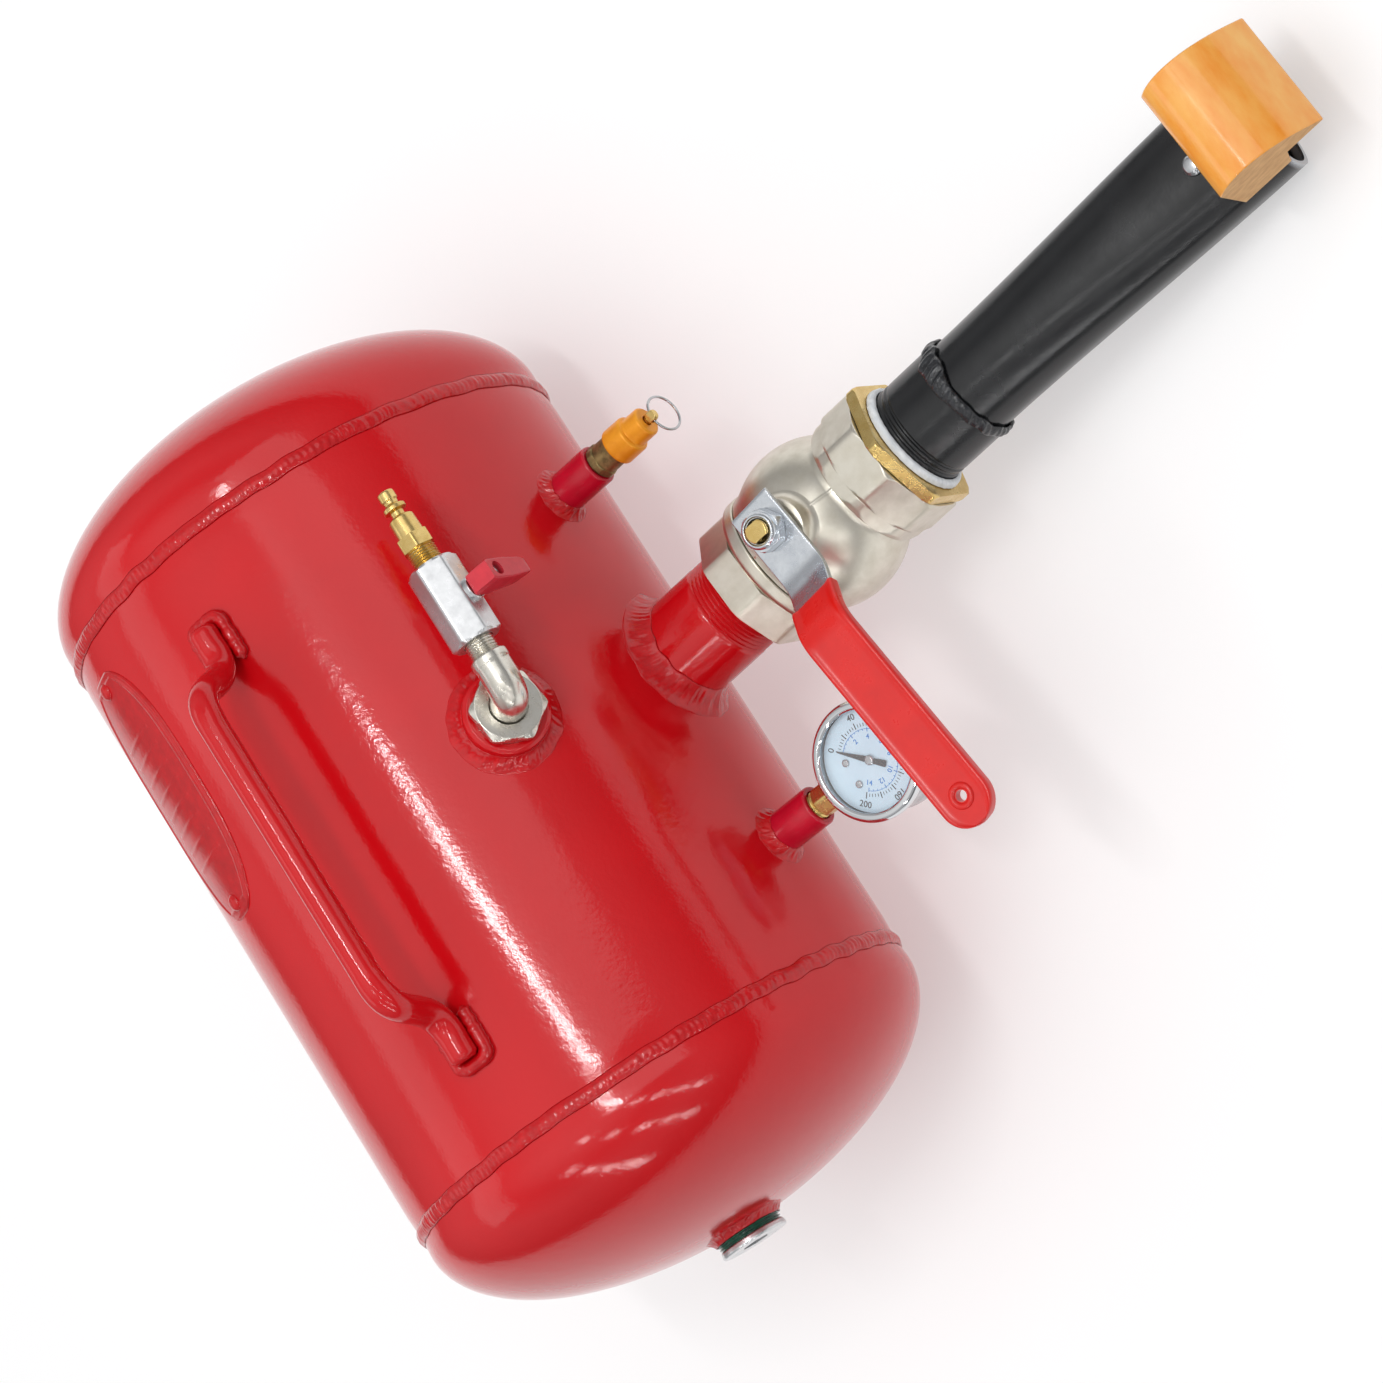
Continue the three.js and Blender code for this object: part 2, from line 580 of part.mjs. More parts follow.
function nozzleEnd(g) {
  const low = VALVE_END - 15;
  const hexTop = VALVE_END + GAP;
  const shank = tube(PIPE_R + GAP, PIPE_R + 4 - GAP, low, hexTop + 1, 26);
  const crown = flats(BUSH_AF, 6);
  const hex = tube(PIPE_R + GAP, crown, hexTop, BUSH_TOP, 6, Math.PI / 6);
  const round = tube(PIPE_R + GAP, crown - 1.2, hexTop, BUSH_TOP, 30);
  const bore = disc(PIPE_R + GAP, low - 1, BUSH_TOP + 1, 26);
  add(g, 'outlet_bush', cut(join(shank, common(hex, round)), bore), BRASS);
  const tape = [[PIPE_R + GAP, BUSH_TOP + GAP], [PIPE_R + 3, BUSH_TOP + GAP],
    [PIPE_R + 2.4, BUSH_TOP + 2.6], [PIPE_R + GAP, BUSH_TOP + 3]];
  add(g, 'tape_ring', ringOf(tape, 26), TAPE);
  const groove = (z) => [[PIPE_R, z - 1], [PIPE_R - 0.8, z - 0.5], [PIPE_R - 0.8, z + 0.5], [PIPE_R, z + 1]];
  const loop = [[PIPE_BORE, low + 3], [PIPE_R - 1.2, low + 3], [PIPE_R, VALVE_END],
    ...groove(BUSH_TOP + 6), ...groove(BUSH_TOP + 9), [PIPE_R, COLLAR_END], [PIPE_BORE, COLLAR_END]];
  add(g, 'collar_pipe', ringOf(loop, 26), BLACK);
  collarWeld(g);
}

function collarWeld(g) {
  const loops = [];
  const sides = 32;
  for (let k = 0; k < sides; k++) {
    const t = (2 * Math.PI * k) / sides;
    const swell = 0.5 * Math.sin(7 * t) + 0.35 * Math.sin(17 * t + 1);
    const rows = [[GAP, -3.5], [1.6 + 0.5 * swell, -2.6], [2.6 + swell, 0], [1.6 + 0.5 * swell, 2.6],
      [GAP, 3.5], [GAP, 0]];
    loops.push(rows.map(([dr, dz]) => new THREE.Vector3((PIPE_R + dr) * Math.cos(t),
      (PIPE_R + dr) * Math.sin(t), COLLAR_END + GAP / 2 + dz + 0.4 * Math.sin(5 * t))));
  }
  add(g, 'collar_weld', skinned(loops, true), BLACK);
}

// Half width and half height of the barrel at a fraction f of its length.
function barrelHalf(f, inset) {
  const flat = f * f * (3 - 2 * f);
  const wide = (BARREL_DIA + (MOUTH_WIDE - BARREL_DIA) * flat) / 2;
  const high = (BARREL_DIA + (MOUTH_HIGH - BARREL_DIA) * flat) / 2;
  return [wide - inset, high - inset, 2 + 0.5 * flat];
}

function barrelPoint(f, t, inset) {
  const [wide, high, power] = barrelHalf(f, inset);
  const c = Math.cos(t), s = Math.sin(t);
  const bend = (v) => Math.sign(v) * Math.pow(Math.abs(v), 2 / power);
  return new THREE.Vector3(high * bend(s), wide * bend(c), BARREL_START + f * BARREL_LEN);
}

function barrel(g) {
  const sides = 32, rows = 6;
  const loops = [];
  for (let k = 0; k < sides; k++) {
    const t = (2 * Math.PI * (k + 0.5)) / sides;
    const side = (inset) => Array.from({ length: rows + 1 }, (_, i) => barrelPoint(i / rows, t, inset));
    loops.push([...side(0), ...side(BARREL_WALL).reverse()]);
  }
  const hole = (r, z) => upwards(disc(r + GAP, 0, 60, 16)).translate(0, 0, z);
  return add(g, 'barrel', cut(skinned(loops, true), hole(2.5, PAD_SCREW_Z), hole(3, FIXING_Z)), BLACK);
}

// Side view of the pad: distance past the rear foot, height over the barrel.
function padOutline() {
  const step = PAD_SETBACK + 2;
  const lip = PAD_SETBACK + 26.5;
  const h = PAD_HIGH;
  return [[0, 0], [step, 0], [step + 5, 0.36 * h], [lip, 0.36 * h], [lip - 0.3, 0.39 * h],
    [lip - 6, 0.6 * h], [lip - 13, 0.79 * h], [lip - 21, 0.94 * h], [lip - 29, h], [lip - 37, 0.98 * h],
    [lip - 43, 0.9 * h], [lip - 47.5, 0.78 * h]];
}

function pad(g) {
  const top = barrelHalf(1 - PAD_SETBACK / BARREL_LEN, 0)[1] + GAP;
  const stand = new THREE.Matrix4().set(0, -1, 0, -top, 0, 0, 1, 0, 1, 0, 0, PAD_FOOT_Z, 0, 0, 0, 1);
  const slab = clean(sheet(padOutline(), -PAD_WIDE / 2, PAD_WIDE).applyMatrix4(stand));
  const bore = upwards(disc(3 + GAP, top - 2, top + 12, 16)).translate(0, 0, FIXING_Z);
  add(g, 'rim_pad', cut(slab, bore), ORANGE);
  const head = top + 0.8;
  const rear = turned([[0, head - 9], [2.5, head - 9], [2.5, head], [4.6, head], [4.2, head + 1.6],
    [2.4, head + 2.6], [0, head + 2.8]], 16);
  add(g, 'pad_screw', upwards(rear).translate(0, 0, PAD_SCREW_Z), ZINC);
  const under = top - BARREL_WALL - 1.7;
  const inner = turned([[0, under - 3], [5, under - 3], [5.4, under], [3, under], [3, top + 11],
    [0, top + 11]], 16);
  add(g, 'pad_fixing', upwards(inner).translate(0, 0, FIXING_Z), ZINC);
}

// ---------------------------------------------------------------- small sockets

function socket(g, name) {
  const r = SOCKET_DIA / 2;
  const bore = 6.8;
  const low = -TANK_WALL - 2;
  add(g, `${name}_boss`, ringOf([[bore, low], [r, low], [r, SOCKET_REACH - 1],
    [r - 0.8, SOCKET_REACH], [bore, SOCKET_REACH]], 20), SOCKET_RED);
  add(g, `${name}_weld`, filletBead(g, r, 4.5, skinAt, 18), RED);
}

function safetyValve(g, roll) {
  socket(g, 'safety');
  const base = SOCKET_REACH;
  const seat = base + 4;
  const bodyTop = base + 19;
  const body = ringOf([[3, base - 13], [6.5, base - 13], [6.5, base + GAP], [7.2, base + GAP],
    [7.4, base + 4], [7.4, bodyTop], [5.4, bodyTop], [5.4, seat], [3, seat]], 20);
  add(g, 'safety_body', body, DARK_BRASS);
  const top = base + 32.5;
  const cap = ringOf([[7.7, base + 12], [8.7, base + 12], [8.9, base + 13], [8.7, base + 23],
    [7.2, base + 23.6], [7, top - 0.6], [6.4, top], [2.4, top], [2.4, top - 3.5], [5.4, top - 3.5],
    [5.4, bodyTop + GAP], [7.7, bodyTop + GAP]], 20);
  add(g, 'safety_cap', cap, AMBER);
  const eye = top + 3;
  const stem = turned([[0, seat + GAP], [4.8, seat + GAP], [4.8, seat + 2.5], [1.8, seat + 3],
    [1.8, eye + 2], [1.2, eye + 2.6], [0, eye + 2.6]], 16);
  const lug = common(disc(2.6, eye - 2, eye + 2.4, 16), block(3, 6, 8, 0, 0, eye));
  const hole = alongY(disc(1.1, -5, 5, 14)).translate(0, 0, eye);
  add(g, 'safety_stem', cut(join(stem, lug), hole), BRASS);
  add(g, 'safety_spring', coil(3.5, 0.45, seat + 3.4, top - 4.3, 6), STEEL);
  const loop = new THREE.TorusGeometry(PULL_RING / 2, 0.6, 6, 20).translate(PULL_RING / 2 - 0.1, 0, 0);
  const plumb = SOCKET_TURN * RAD - roll;   // the ring hangs straight down on the rolled tool
  add(g, 'safety_ring', clean(loop.rotateY(plumb).translate(0, 0, eye)), STEEL);
}

class Helix extends THREE.Curve {
  constructor(radius, z0, z1, turns) {
    super();
    Object.assign(this, { radius, z0, z1, turns });
  }

  getPoint(t, target = new THREE.Vector3()) {
    const a = 2 * Math.PI * this.turns * t;
    return target.set(this.radius * Math.cos(a), this.radius * Math.sin(a),
      this.z0 + (this.z1 - this.z0) * t);
  }
}

const coil = (radius, wire, z0, z1, turns) =>
  rod(new Helix(radius, z0 + wire, z1 - wire, turns), wire, turns * 8, 3);

function gauge(g) {
  socket(g, 'gauge');
  const d = new THREE.Group();
  const right = new THREE.Vector3(0, -1, 0);
  const up = new THREE.Vector3(0, 0, 1);
  const face = new THREE.Vector3(-1, 0, 0);
  d.quaternion.setFromRotationMatrix(new THREE.Matrix4().makeBasis(right, up, face));
  d.position.z = GAUGE_REACH;
  d.name = 'frame_gauge';
  g.add(d);
  const r = GAUGE_DIA / 2;
  const back = 10 - GAUGE_DEEP;
  const can = turned([[0, back], [r - 1.5, back], [r - 0.5, back + 1], [r - 0.5, 9], [r - 1.7, 9],
    [r - 1.7, back + 1.2], [0, back + 1.2]], 28);
  const stemHole = alongY(disc(6.3, -r - 3, -r + 6, 16));
  add(d, 'gauge_case', cut(can, stemHole), STEEL);
  add(d, 'gauge_bezel', ringOf([[r - 0.2, 6.1], [r + 1.4, 6.4], [r + 1.8, 9.5], [r + 0.6, 12],
    [r - 3, 12.3], [r - 3, 10.7], [r - 0.2, 10.7]], 30), STEEL);
  add(d, 'gauge_lens', disc(r - 0.8, 9.3, 10.4, 28), LENS);
  const card = cut(disc(r - 2.1, 6, 6.8, 28), disc(1.5, 5, 8, 16));
  const screws = [-5.4, 5.4].map((x) =>
    turned([[0, 6.2], [1.8, 6.2], [1.8, 7.4], [1.4, 7.9], [0, 8]], 14).translate(x, -11, 0));
  add(d, 'gauge_dial', join(card, ...screws), DIAL);
  gaugeInside(d, r);
}

function gaugeInside(d, r) {
  const reach = GAUGE_REACH - SOCKET_REACH;
  const inlet = alongY(turned([[0, -reach - 12], [6.4, -reach - 12], [6.4, -reach - GAP],
    [6.4, -reach + 1], [5.6, -reach + 2], [5.6, -r + 6], [0, -r + 6]], 20));
  const wrench = alongY(common(hexBar(13, -reach + 1.6, -r - 2.2), disc(7.2, -reach + 1.6, -r - 2.2, 20)));
  const rest = block(11, 11, 9, 0, -r + 9, -5);
  const way = alongY(disc(1.6, -reach - 13, -r + 9, 12));
  add(d, 'gauge_socket', cut(join(inlet, wrench, rest), way), BRASS);
  const first = -Math.acos(6.93 / (r - 6.5));      // clears the side of the socket's rest
  const arc = new THREE.EllipseCurve(0, 0, r - 6.5, r - 6.5, first, 195 * RAD);
  const pts = arc.getPoints(24).map((p) => new THREE.Vector3(p.x, p.y, -5));
  add(d, 'bourdon_tube', rod(new THREE.CatmullRomCurve3(pts), 1.8, 24, 3), BRASS);
  const frame = block(15, 15, 7, 0, -r + 14.8 + 7.5, -5);
  add(d, 'gauge_movement', cut(frame, disc(1.3, -6, 0, 16)), BRASS);
  const hub = turned([[0, -3], [0.9, -3], [0.9, 7.2], [2.3, 7.2], [2.3, 8.3], [1.8, 8.7], [0, 8.7]], 16);
  const blade = sheet([[-8, -1.2], [0, -1.4], [r - 9, -0.25], [r - 9, 0.25], [0, 1.4], [-8, 1.2]], 7.3, 0.5);
  add(d, 'gauge_pointer', join(hub, blade.rotateZ(-135 * RAD)), POINTER);
}

// ---------------------------------------------------------------- charging inlet

function inlet(g) {
  const r = INLET_BOSS_DIA / 2;
  const neck = 13.8;
  add(g, 'inlet_boss', ringOf([[neck, -TANK_WALL - 2], [r, -TANK_WALL - 2], [r, 9.5], [r - 1.5, 11],
    [neck, 11]], 26), RED);
  add(g, 'inlet_weld', filletBead(g, r, 6, skinAt, 24), RED);
  const pipe = ELBOW_DIA / 2;
  const bushTop = 18;
  const shank = tube(5, neck - GAP, 0, 11 + GAP, 24);
  const collar = tube(5, neck + 1.2, 11 + GAP, 14, 24);
  const hex = common(hexBar(INLET_HEX, 13.6, bushTop).rotateZ(-22 * RAD), turned([[0, 13], [16.8, 13],
    [16.8, bushTop - 0.8], [15.4, bushTop], [0, bushTop]], 24));
  const seat = disc(pipe + GAP, 5, bushTop + 1, 20);
  add(g, 'reducer_bush', cut(join(shank, collar, hex), seat, disc(5, -1, 6, 20)), NICKEL);
  add(g, 'inlet_elbow', elbow(pipe), NICKEL);
  miniValve(g);
}

function elbow(pipe) {
  const at = (y, z) => new THREE.Vector3(0, y, z);
  const corner = at(0, INLET_AXIS);
  const end = MINI_START - 7.5;
  const outer = rod(bentPath([at(0, 5.5), corner, at(end, INLET_AXIS)], 10), pipe, 12, 8);
  const thread = alongY(turned([[0, end - 1], [6.6, end - 1], ...threadedEnd(6.5, end, MINI_START, 2.5),
    [5.6, MINI_START + 9], [0, MINI_START + 9]], 20)).translate(0, 0, INLET_AXIS);
  const bore = rod(bentPath([at(0, 4), corner, at(MINI_START + 11, INLET_AXIS)], 10), 4, 12, 4);
  return cut(join(outer, thread), bore);
}

function miniValve(g) {
  const m = new THREE.Group();
  m.rotation.y = INLET_TURN * RAD;
  m.position.set(0, MINI_START, INLET_AXIS);
  m.name = 'frame_mini';
  g.add(m);
  const mid = MINI_LEN / 2;
  const ballR = 7.2;
  const hex = common(hexBar(MINI_AF, 0, MINI_LEN), turned([[0, 0], [11, 0], [12, 1], [12, MINI_LEN - 1],
    [11, MINI_LEN], [0, MINI_LEN]], 24));
  const neck = disc(5.6, 8, 13, 20).translate(0, mid, 0);
  const ways = [disc(6.9, -1, 10, 20), disc(4.2, 9, 14, 16), disc(8, 12, MINI_LEN + 1, 18)].map(alongY);
  const stemHole = disc(3 + SLIP, 3, 14, 16).translate(0, mid, 0);
  add(m, 'mini_valve_body', cut(join(alongY(hex), neck), ...ways, stemHole), NICKEL);
  const ring = ringOf([[6.9, MINI_LEN - GAP], [8 - GAP, MINI_LEN - GAP], [8 - GAP, mid + ballR + GAP],
    [4.4, mid + ballR + GAP], [4.4, mid + ballR + 2.4], [6.9, mid + ballR + 2.4]], 18);
  add(m, 'mini_valve_retainer', alongY(ring), BRASS);
  const way = disc(4, -9, 9, 16).rotateY(Math.PI / 2).translate(0, mid, 0);
  const slot = block(2.4 + 2 * GAP, 2 * ballR, 5, 0, mid, ballR);
  const ball = clean(new THREE.SphereGeometry(ballR, 16, 10).translate(0, mid, 0));
  add(m, 'mini_valve_ball', cut(ball, way, slot), STEEL);
  miniHandle(m, mid, ballR);
  airPlug(m);
}

function miniHandle(m, mid, ballR) {
  const low = 13.4;
  const top = low + 13.4;
  const web = low + 6;
  const tang = common(disc(3, ballR - 2, ballR + 1, 16), block(2.4, 8, 6, 0, 0, ballR));
  const shaft = turned([[0, ballR + 0.4], [3, ballR + 0.4], [3, low], [0, low]], 16);
  const square = block(4, 4, web - low + 1, 0, 0, (web + low - 1) / 2);
  const tapped = disc(1.5, low - 1, web + 1, 12);
  const at = (geometry) => geometry.translate(0, mid, 0);
  add(m, 'mini_valve_stem', at(cut(join(shaft, square, tang), tapped)), BRASS);
  const side = sheet([[-5, low], [5, low], [6.5, low + 2.5], [19, low + 4.5], [24.5, low + 9],
    [23.5, top], [-6, top], [-6.5, low + 3]], -5, 10).rotateX(Math.PI / 2);
  const socketHole = block(4 + 2 * GAP, 4 + 2 * GAP, web - low + 2, 0, 0, (web + GAP + low) / 2 - 1);
  const recess = disc(3.3, web + 3, top + 1, 16);
  const wing = cut(clean(side), socketHole, recess, disc(1.7, web - 1, top, 12));
  add(m, 'mini_valve_handle', at(wing), WING);
  const screw = turned([[0, low], [1.2, low], [1.2, web + 3 + GAP], [2.9, web + 3 + GAP],
    [2.7, web + 5.2], [0, web + 5.6]], 16);
  add(m, 'mini_valve_screw', at(screw), ZINC);
}

function airPlug(m) {
  const e = MINI_LEN;
  const tip = e + PLUG_LEN;
  const body = ringOf([[2.6, e - 7], [5.8, e - 7], ...threadedEnd(6.5, e, e + 8.5, 1.9),
    [5.8, e + 9], [5.8, e + 24], [5.2, e + 24.6], [3, e + 25.2], [3, e + 27.5], [5.2, e + 28.4],
    [5.2, e + 30], [3.2, e + 31.2], [3.2, e + 32.6], [3.9, e + 33.4], [3.9, tip - 0.6], [3.5, tip],
    [2.6, tip]], 18);
  const hex = common(hexBar(14, e + 8.6, e + 15), disc(7.8, e + 8.6, e + 15, 18));
  add(m, 'air_plug', alongY(join(body, cut(hex, disc(4, e, e + 20, 16)))), BRASS);
}

// ---------------------------------------------------------------- assembly

// The roll about Y at which the nozzle meets the floor that the seam welds rest on.
function restingRoll(mesh, tool) {
  tool.updateMatrixWorld(true);
  const p = mesh.geometry.attributes.position;
  const v = new THREE.Vector3();
  let roll = Math.PI;
  for (let i = 0; i < p.count; i++) {
    v.fromBufferAttribute(p, i).applyMatrix4(mesh.matrixWorld);
    const far = Math.hypot(v.x, v.z);
    if (far <= R + SEAM_RISE || v.x < R) continue;
    roll = Math.min(roll, Math.atan2(v.z, v.x) + Math.asin((R + SEAM_RISE) / far));
  }
  return roll;
}

function buildTool() {
  const tool = new THREE.Group();
  const outlet = station(0, 0, OUTLET_LEAN);
  outlet.name = 'frame_outlet';
  const safety = station(SOCKET_TURN, SAFETY_SHIFT);
  safety.name = 'frame_safety';
  const dial = station(SOCKET_TURN, GAUGE_SHIFT);
  const charge = station(INLET_TURN, INLET_SHIFT);
  tool.add(outlet, safety, dial, charge);
  outletPipe(outlet);
  mainValve(outlet);
  ballAndStem(outlet);
  nozzleEnd(outlet);
  const roll = restingRoll(barrel(outlet), tool);
  pad(outlet);
  safetyValve(safety, roll);
  gauge(dial);
  inlet(charge);
  const phase = Math.PI - roll - Math.PI / TANK_SIDES;
  const small = SOCKET_DIA / 2 + GAP;
  tank(tool, phase, [[outlet, PIPE_R + GAP + 0.1], [safety, small], [dial, small],
    [charge, INLET_BOSS_DIA / 2 + GAP]]);
  drain(tool);
  handle(tool);
  nameplate(tool);
  tool.rotation.y = roll;
  return tool;
}

const root = new THREE.Group();
root.name = 'tyre_bead_seater';
const tool = buildTool();
root.add(tool);
root.updateMatrixWorld(true);
const extent = new THREE.Box3().setFromObject(root, true);
const middle = extent.getCenter(new THREE.Vector3());
tool.position.set(-middle.x, -middle.y, -extent.min.z);
root.updateMatrixWorld(true);

export default root;
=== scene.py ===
# %% [markdown]
# # A tyre bead seater, in Blender
# The tool is a red steel air tank with a fat ball valve and a flattened black nozzle. The tank is filled
# with air, the nozzle is hooked on a wheel rim, and opening the valve blows the tyre's bead on to its seat.
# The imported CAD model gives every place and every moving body; here each visible piece is worked out again as
# a smooth surface with numpy and given its real finish.

# %% Load the frame
import json
import math

import bmesh
import bpy
import numpy as np
from mathutils import Matrix, Vector


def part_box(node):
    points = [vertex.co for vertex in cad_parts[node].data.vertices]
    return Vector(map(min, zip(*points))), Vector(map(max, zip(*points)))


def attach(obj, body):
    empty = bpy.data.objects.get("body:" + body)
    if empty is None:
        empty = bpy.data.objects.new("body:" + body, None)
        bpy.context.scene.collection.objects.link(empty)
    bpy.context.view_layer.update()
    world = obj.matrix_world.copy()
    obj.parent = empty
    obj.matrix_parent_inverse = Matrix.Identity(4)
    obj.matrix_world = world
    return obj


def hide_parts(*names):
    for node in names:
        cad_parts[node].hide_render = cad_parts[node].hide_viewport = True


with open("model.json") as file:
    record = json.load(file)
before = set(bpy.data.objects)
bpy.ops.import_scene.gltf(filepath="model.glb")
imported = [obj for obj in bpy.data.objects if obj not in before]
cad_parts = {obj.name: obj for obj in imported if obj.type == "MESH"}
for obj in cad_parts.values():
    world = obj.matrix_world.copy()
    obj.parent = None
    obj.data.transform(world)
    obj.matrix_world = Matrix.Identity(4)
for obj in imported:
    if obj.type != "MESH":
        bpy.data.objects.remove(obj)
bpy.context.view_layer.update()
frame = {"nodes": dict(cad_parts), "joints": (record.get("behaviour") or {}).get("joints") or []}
JOINT = {j["name"]: j for j in frame["joints"]}

# %% [markdown]
# ## Places
# Shapes are drawn in millimetres in a small frame of their own and then carried to the row frame in metres.
# A place is a 4 by 4 matrix that does both. The valve stem gives the tool's own up direction, because the
# whole tool lies rolled on its two seams and its nozzle. A station is a place on the tank's skin: its third
# axis points straight out and its second runs along the tank.

# %% Places in the row frame
TANK_R, TANK_HALF = 125.0, 150.0


def unit(v):
    """A vector divided by its own length."""
    v = np.asarray(v, float)
    return v / np.linalg.norm(v)


def place(origin, x, y, z):
    """Matrix whose columns are the three axes, a thousandth long, and the origin in metres."""
    m = np.eye(4)
    m[:3, 0], m[:3, 1], m[:3, 2], m[:3, 3] = unit(x) / 1000, unit(y) / 1000, unit(z) / 1000, origin
    return m


def local(origin=(0, 0, 0), x=(1, 0, 0), y=(0, 1, 0), z=(0, 0, 1)):
    """The same, inside another place: millimetres in and millimetres out."""
    m = np.eye(4)
    m[:3, 0], m[:3, 1], m[:3, 2], m[:3, 3] = x, y, z, origin
    return m


def turn_z(degrees):
    """A turn about the third axis."""
    c, s = math.cos(math.radians(degrees)), math.sin(math.radians(degrees))
    return local(x=(c, s, 0), y=(-s, c, 0))


def put(m, points):
    """Points carried by a place: each is multiplied by the axes and moved by the origin."""
    return np.asarray(points, float) @ m[:3, :3].T + m[:3, 3]


UP = unit(JOINT["main_valve_turn"]["axis"])
ALONG = np.array([0.0, 1.0, 0.0])
OUT = np.cross(ALONG, UP)
shell_low, shell_high = (np.array(c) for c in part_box("tank_shell"))
TANK_AT = (shell_low + shell_high) / 2
TANK = place(TANK_AT, UP, OUT, ALONG)          # third axis along the tank, towards the plain end


def station(turn, shift, lean=0.0):
    """A place on the skin: turn degrees round from the outlet, shift millimetres along, leaning to +Y."""
    a, b = math.radians(turn), math.radians(lean)
    out = math.cos(a) * OUT + math.sin(a) * UP
    side = math.sin(a) * OUT - math.cos(a) * UP
    at = TANK_AT + out * TANK_R / 1000 + ALONG * shift / 1000
    return place(at, side, math.cos(b) * ALONG - math.sin(b) * out, math.sin(b) * ALONG + math.cos(b) * out)


LEAN = 3.7
OUTLET = station(0, 0, LEAN)
SAFETY = station(5, 87)
GAUGE = station(5, -93)
INLET = station(47, 4.5)
GRIP = station(88, 0)
DRAIN = place(TANK_AT - ALONG * 0.220, OUT, UP, -ALONG)
STEM_Z = 93.0
STEM = OUTLET @ local((0, 0, STEM_Z), x=(0, 0, 1), y=(0, 1, 0), z=(-1, 0, 0))
DIAL = GAUGE @ local((0, 0, 62.5), x=(0, -1, 0), y=(0, 0, 1), z=(-1, 0, 0))
q = math.radians(47)
MINI = INLET @ local((0, 26.5, 33), x=(math.cos(q), 0, -math.sin(q)), z=(math.sin(q), 0, math.cos(q)))
for at, joint in ((STEM, "main_valve_turn"), (DIAL, "pointer_turn")):
    gap = 1000 * (at[:3, 3] - np.array(JOINT[joint]["pos_m"]))
    print("place less hinge of", joint, "in mm", np.round(gap, 2))

# %% [markdown]
# ## From arrays to pieces
# A surface is a grid of points, worked out as whole arrays. `skin` lists the grid's faces, and `piece` joins
# one or more closed skins into a mesh that sits at the origin and rides on its CAD body. Corners of turned
# profiles are rounded in the profile itself, because a sharp edge on a real casting or pressing always
# catches a thin line of light.

# %% Grids, faces and pieces
made = []


def skin(grid, wrap_rows=True, wrap_columns=True, caps=False):
    """Quads between neighbouring grid points; caps close the first and last row with one face each."""
    n, m = grid.shape[:2]
    index = np.arange(n * m).reshape(n, m)
    if wrap_rows:
        index = np.vstack([index, index[:1]])
    if wrap_columns:
        index = np.hstack([index, index[:, :1]])
    quads = np.stack([index[:-1, :-1], index[1:, :-1], index[1:, 1:], index[:-1, 1:]], -1).reshape(-1, 4)
    faces = quads.tolist()
    if caps:
        faces += [list(range(m)), list(range((n - 1) * m, n * m))[::-1]]
    return grid.reshape(-1, 3), faces


def piece(name, shells, at, body, materials, replaces=(), crease=38, marks=None):
    """One mesh from several skins. A shell is (points, faces) or (points, faces, material number)."""
    points, faces, which, start = [], [], [], 0
    for shell in shells:
        verts, polys = shell[0], shell[1]
        points.append(put(at, verts))
        faces += [[i + start for i in f] for f in polys]
        which += [shell[2] if len(shell) > 2 else 0] * len(polys)
        start += len(verts)
    mesh = bpy.data.meshes.new(name)
    mesh.from_pydata(np.vstack(points), [], faces)
    mesh.polygons.foreach_set("material_index", which)
    if marks is not None:
        mesh.attributes.new("mark", "FLOAT", "POINT").data.foreach_set("value", marks.astype(np.float32))
    bm = bmesh.new()
    bm.from_mesh(mesh)
    bmesh.ops.remove_doubles(bm, verts=bm.verts, dist=2e-7)
    bmesh.ops.dissolve_degenerate(bm, edges=bm.edges, dist=1e-8)
    bmesh.ops.recalc_face_normals(bm, faces=bm.faces)
    bm.to_mesh(mesh)
    bm.free()
    mesh.polygons.foreach_set("use_smooth", [True] * len(mesh.polygons))
    mesh.set_sharp_from_angle(angle=math.radians(crease))
    for m in materials if isinstance(materials, (list, tuple)) else [materials]:
        mesh.materials.append(m)
    obj = bpy.data.objects.new(name, mesh)
    bpy.context.scene.collection.objects.link(obj)
    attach(obj, body)
    if replaces:
        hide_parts(*replaces)
    made.append(obj)
    return obj


# %% Profiles with eased corners
def soften(corners, radius=0.5, steps=5, closed=True):
    """Every corner becomes a quadratic arc that starts and ends one radius from it, with a guard point on
    each side so that the flats stay flat. radius is one number or one for each corner."""
    p = np.asarray(corners, float)
    k = len(p)
    r = np.broadcast_to(np.asarray(radius, float), (k,))
    back, on = np.roll(p, 1, 0) - p, np.roll(p, -1, 0) - p
    lb = np.maximum(np.linalg.norm(back, axis=1), 1e-9)
    lo = np.maximum(np.linalg.norm(on, axis=1), 1e-9)
    d = np.minimum(r, 0.45 * np.minimum(lb, lo))
    a = p + back * (d / lb)[:, None]
    b = p + on * (d / lo)[:, None]
    s = np.linspace(0, 1, steps)[None, :, None]
    arc = (1 - s) ** 2 * a[:, None] + 2 * s * (1 - s) * p[:, None] + s ** 2 * b[:, None]
    guard = np.minimum(0.1 * d, 0.04 * np.minimum(lb, lo))
    first = (a + back * (guard / lb)[:, None])[:, None]
    last = (b + on * (guard / lo)[:, None])[:, None]
    full = np.concatenate([first, arc, last], 1)
    if closed:
        return full.reshape(-1, 2)
    return np.vstack([p[:1], full[1:-1].reshape(-1, 2), p[-1:]])


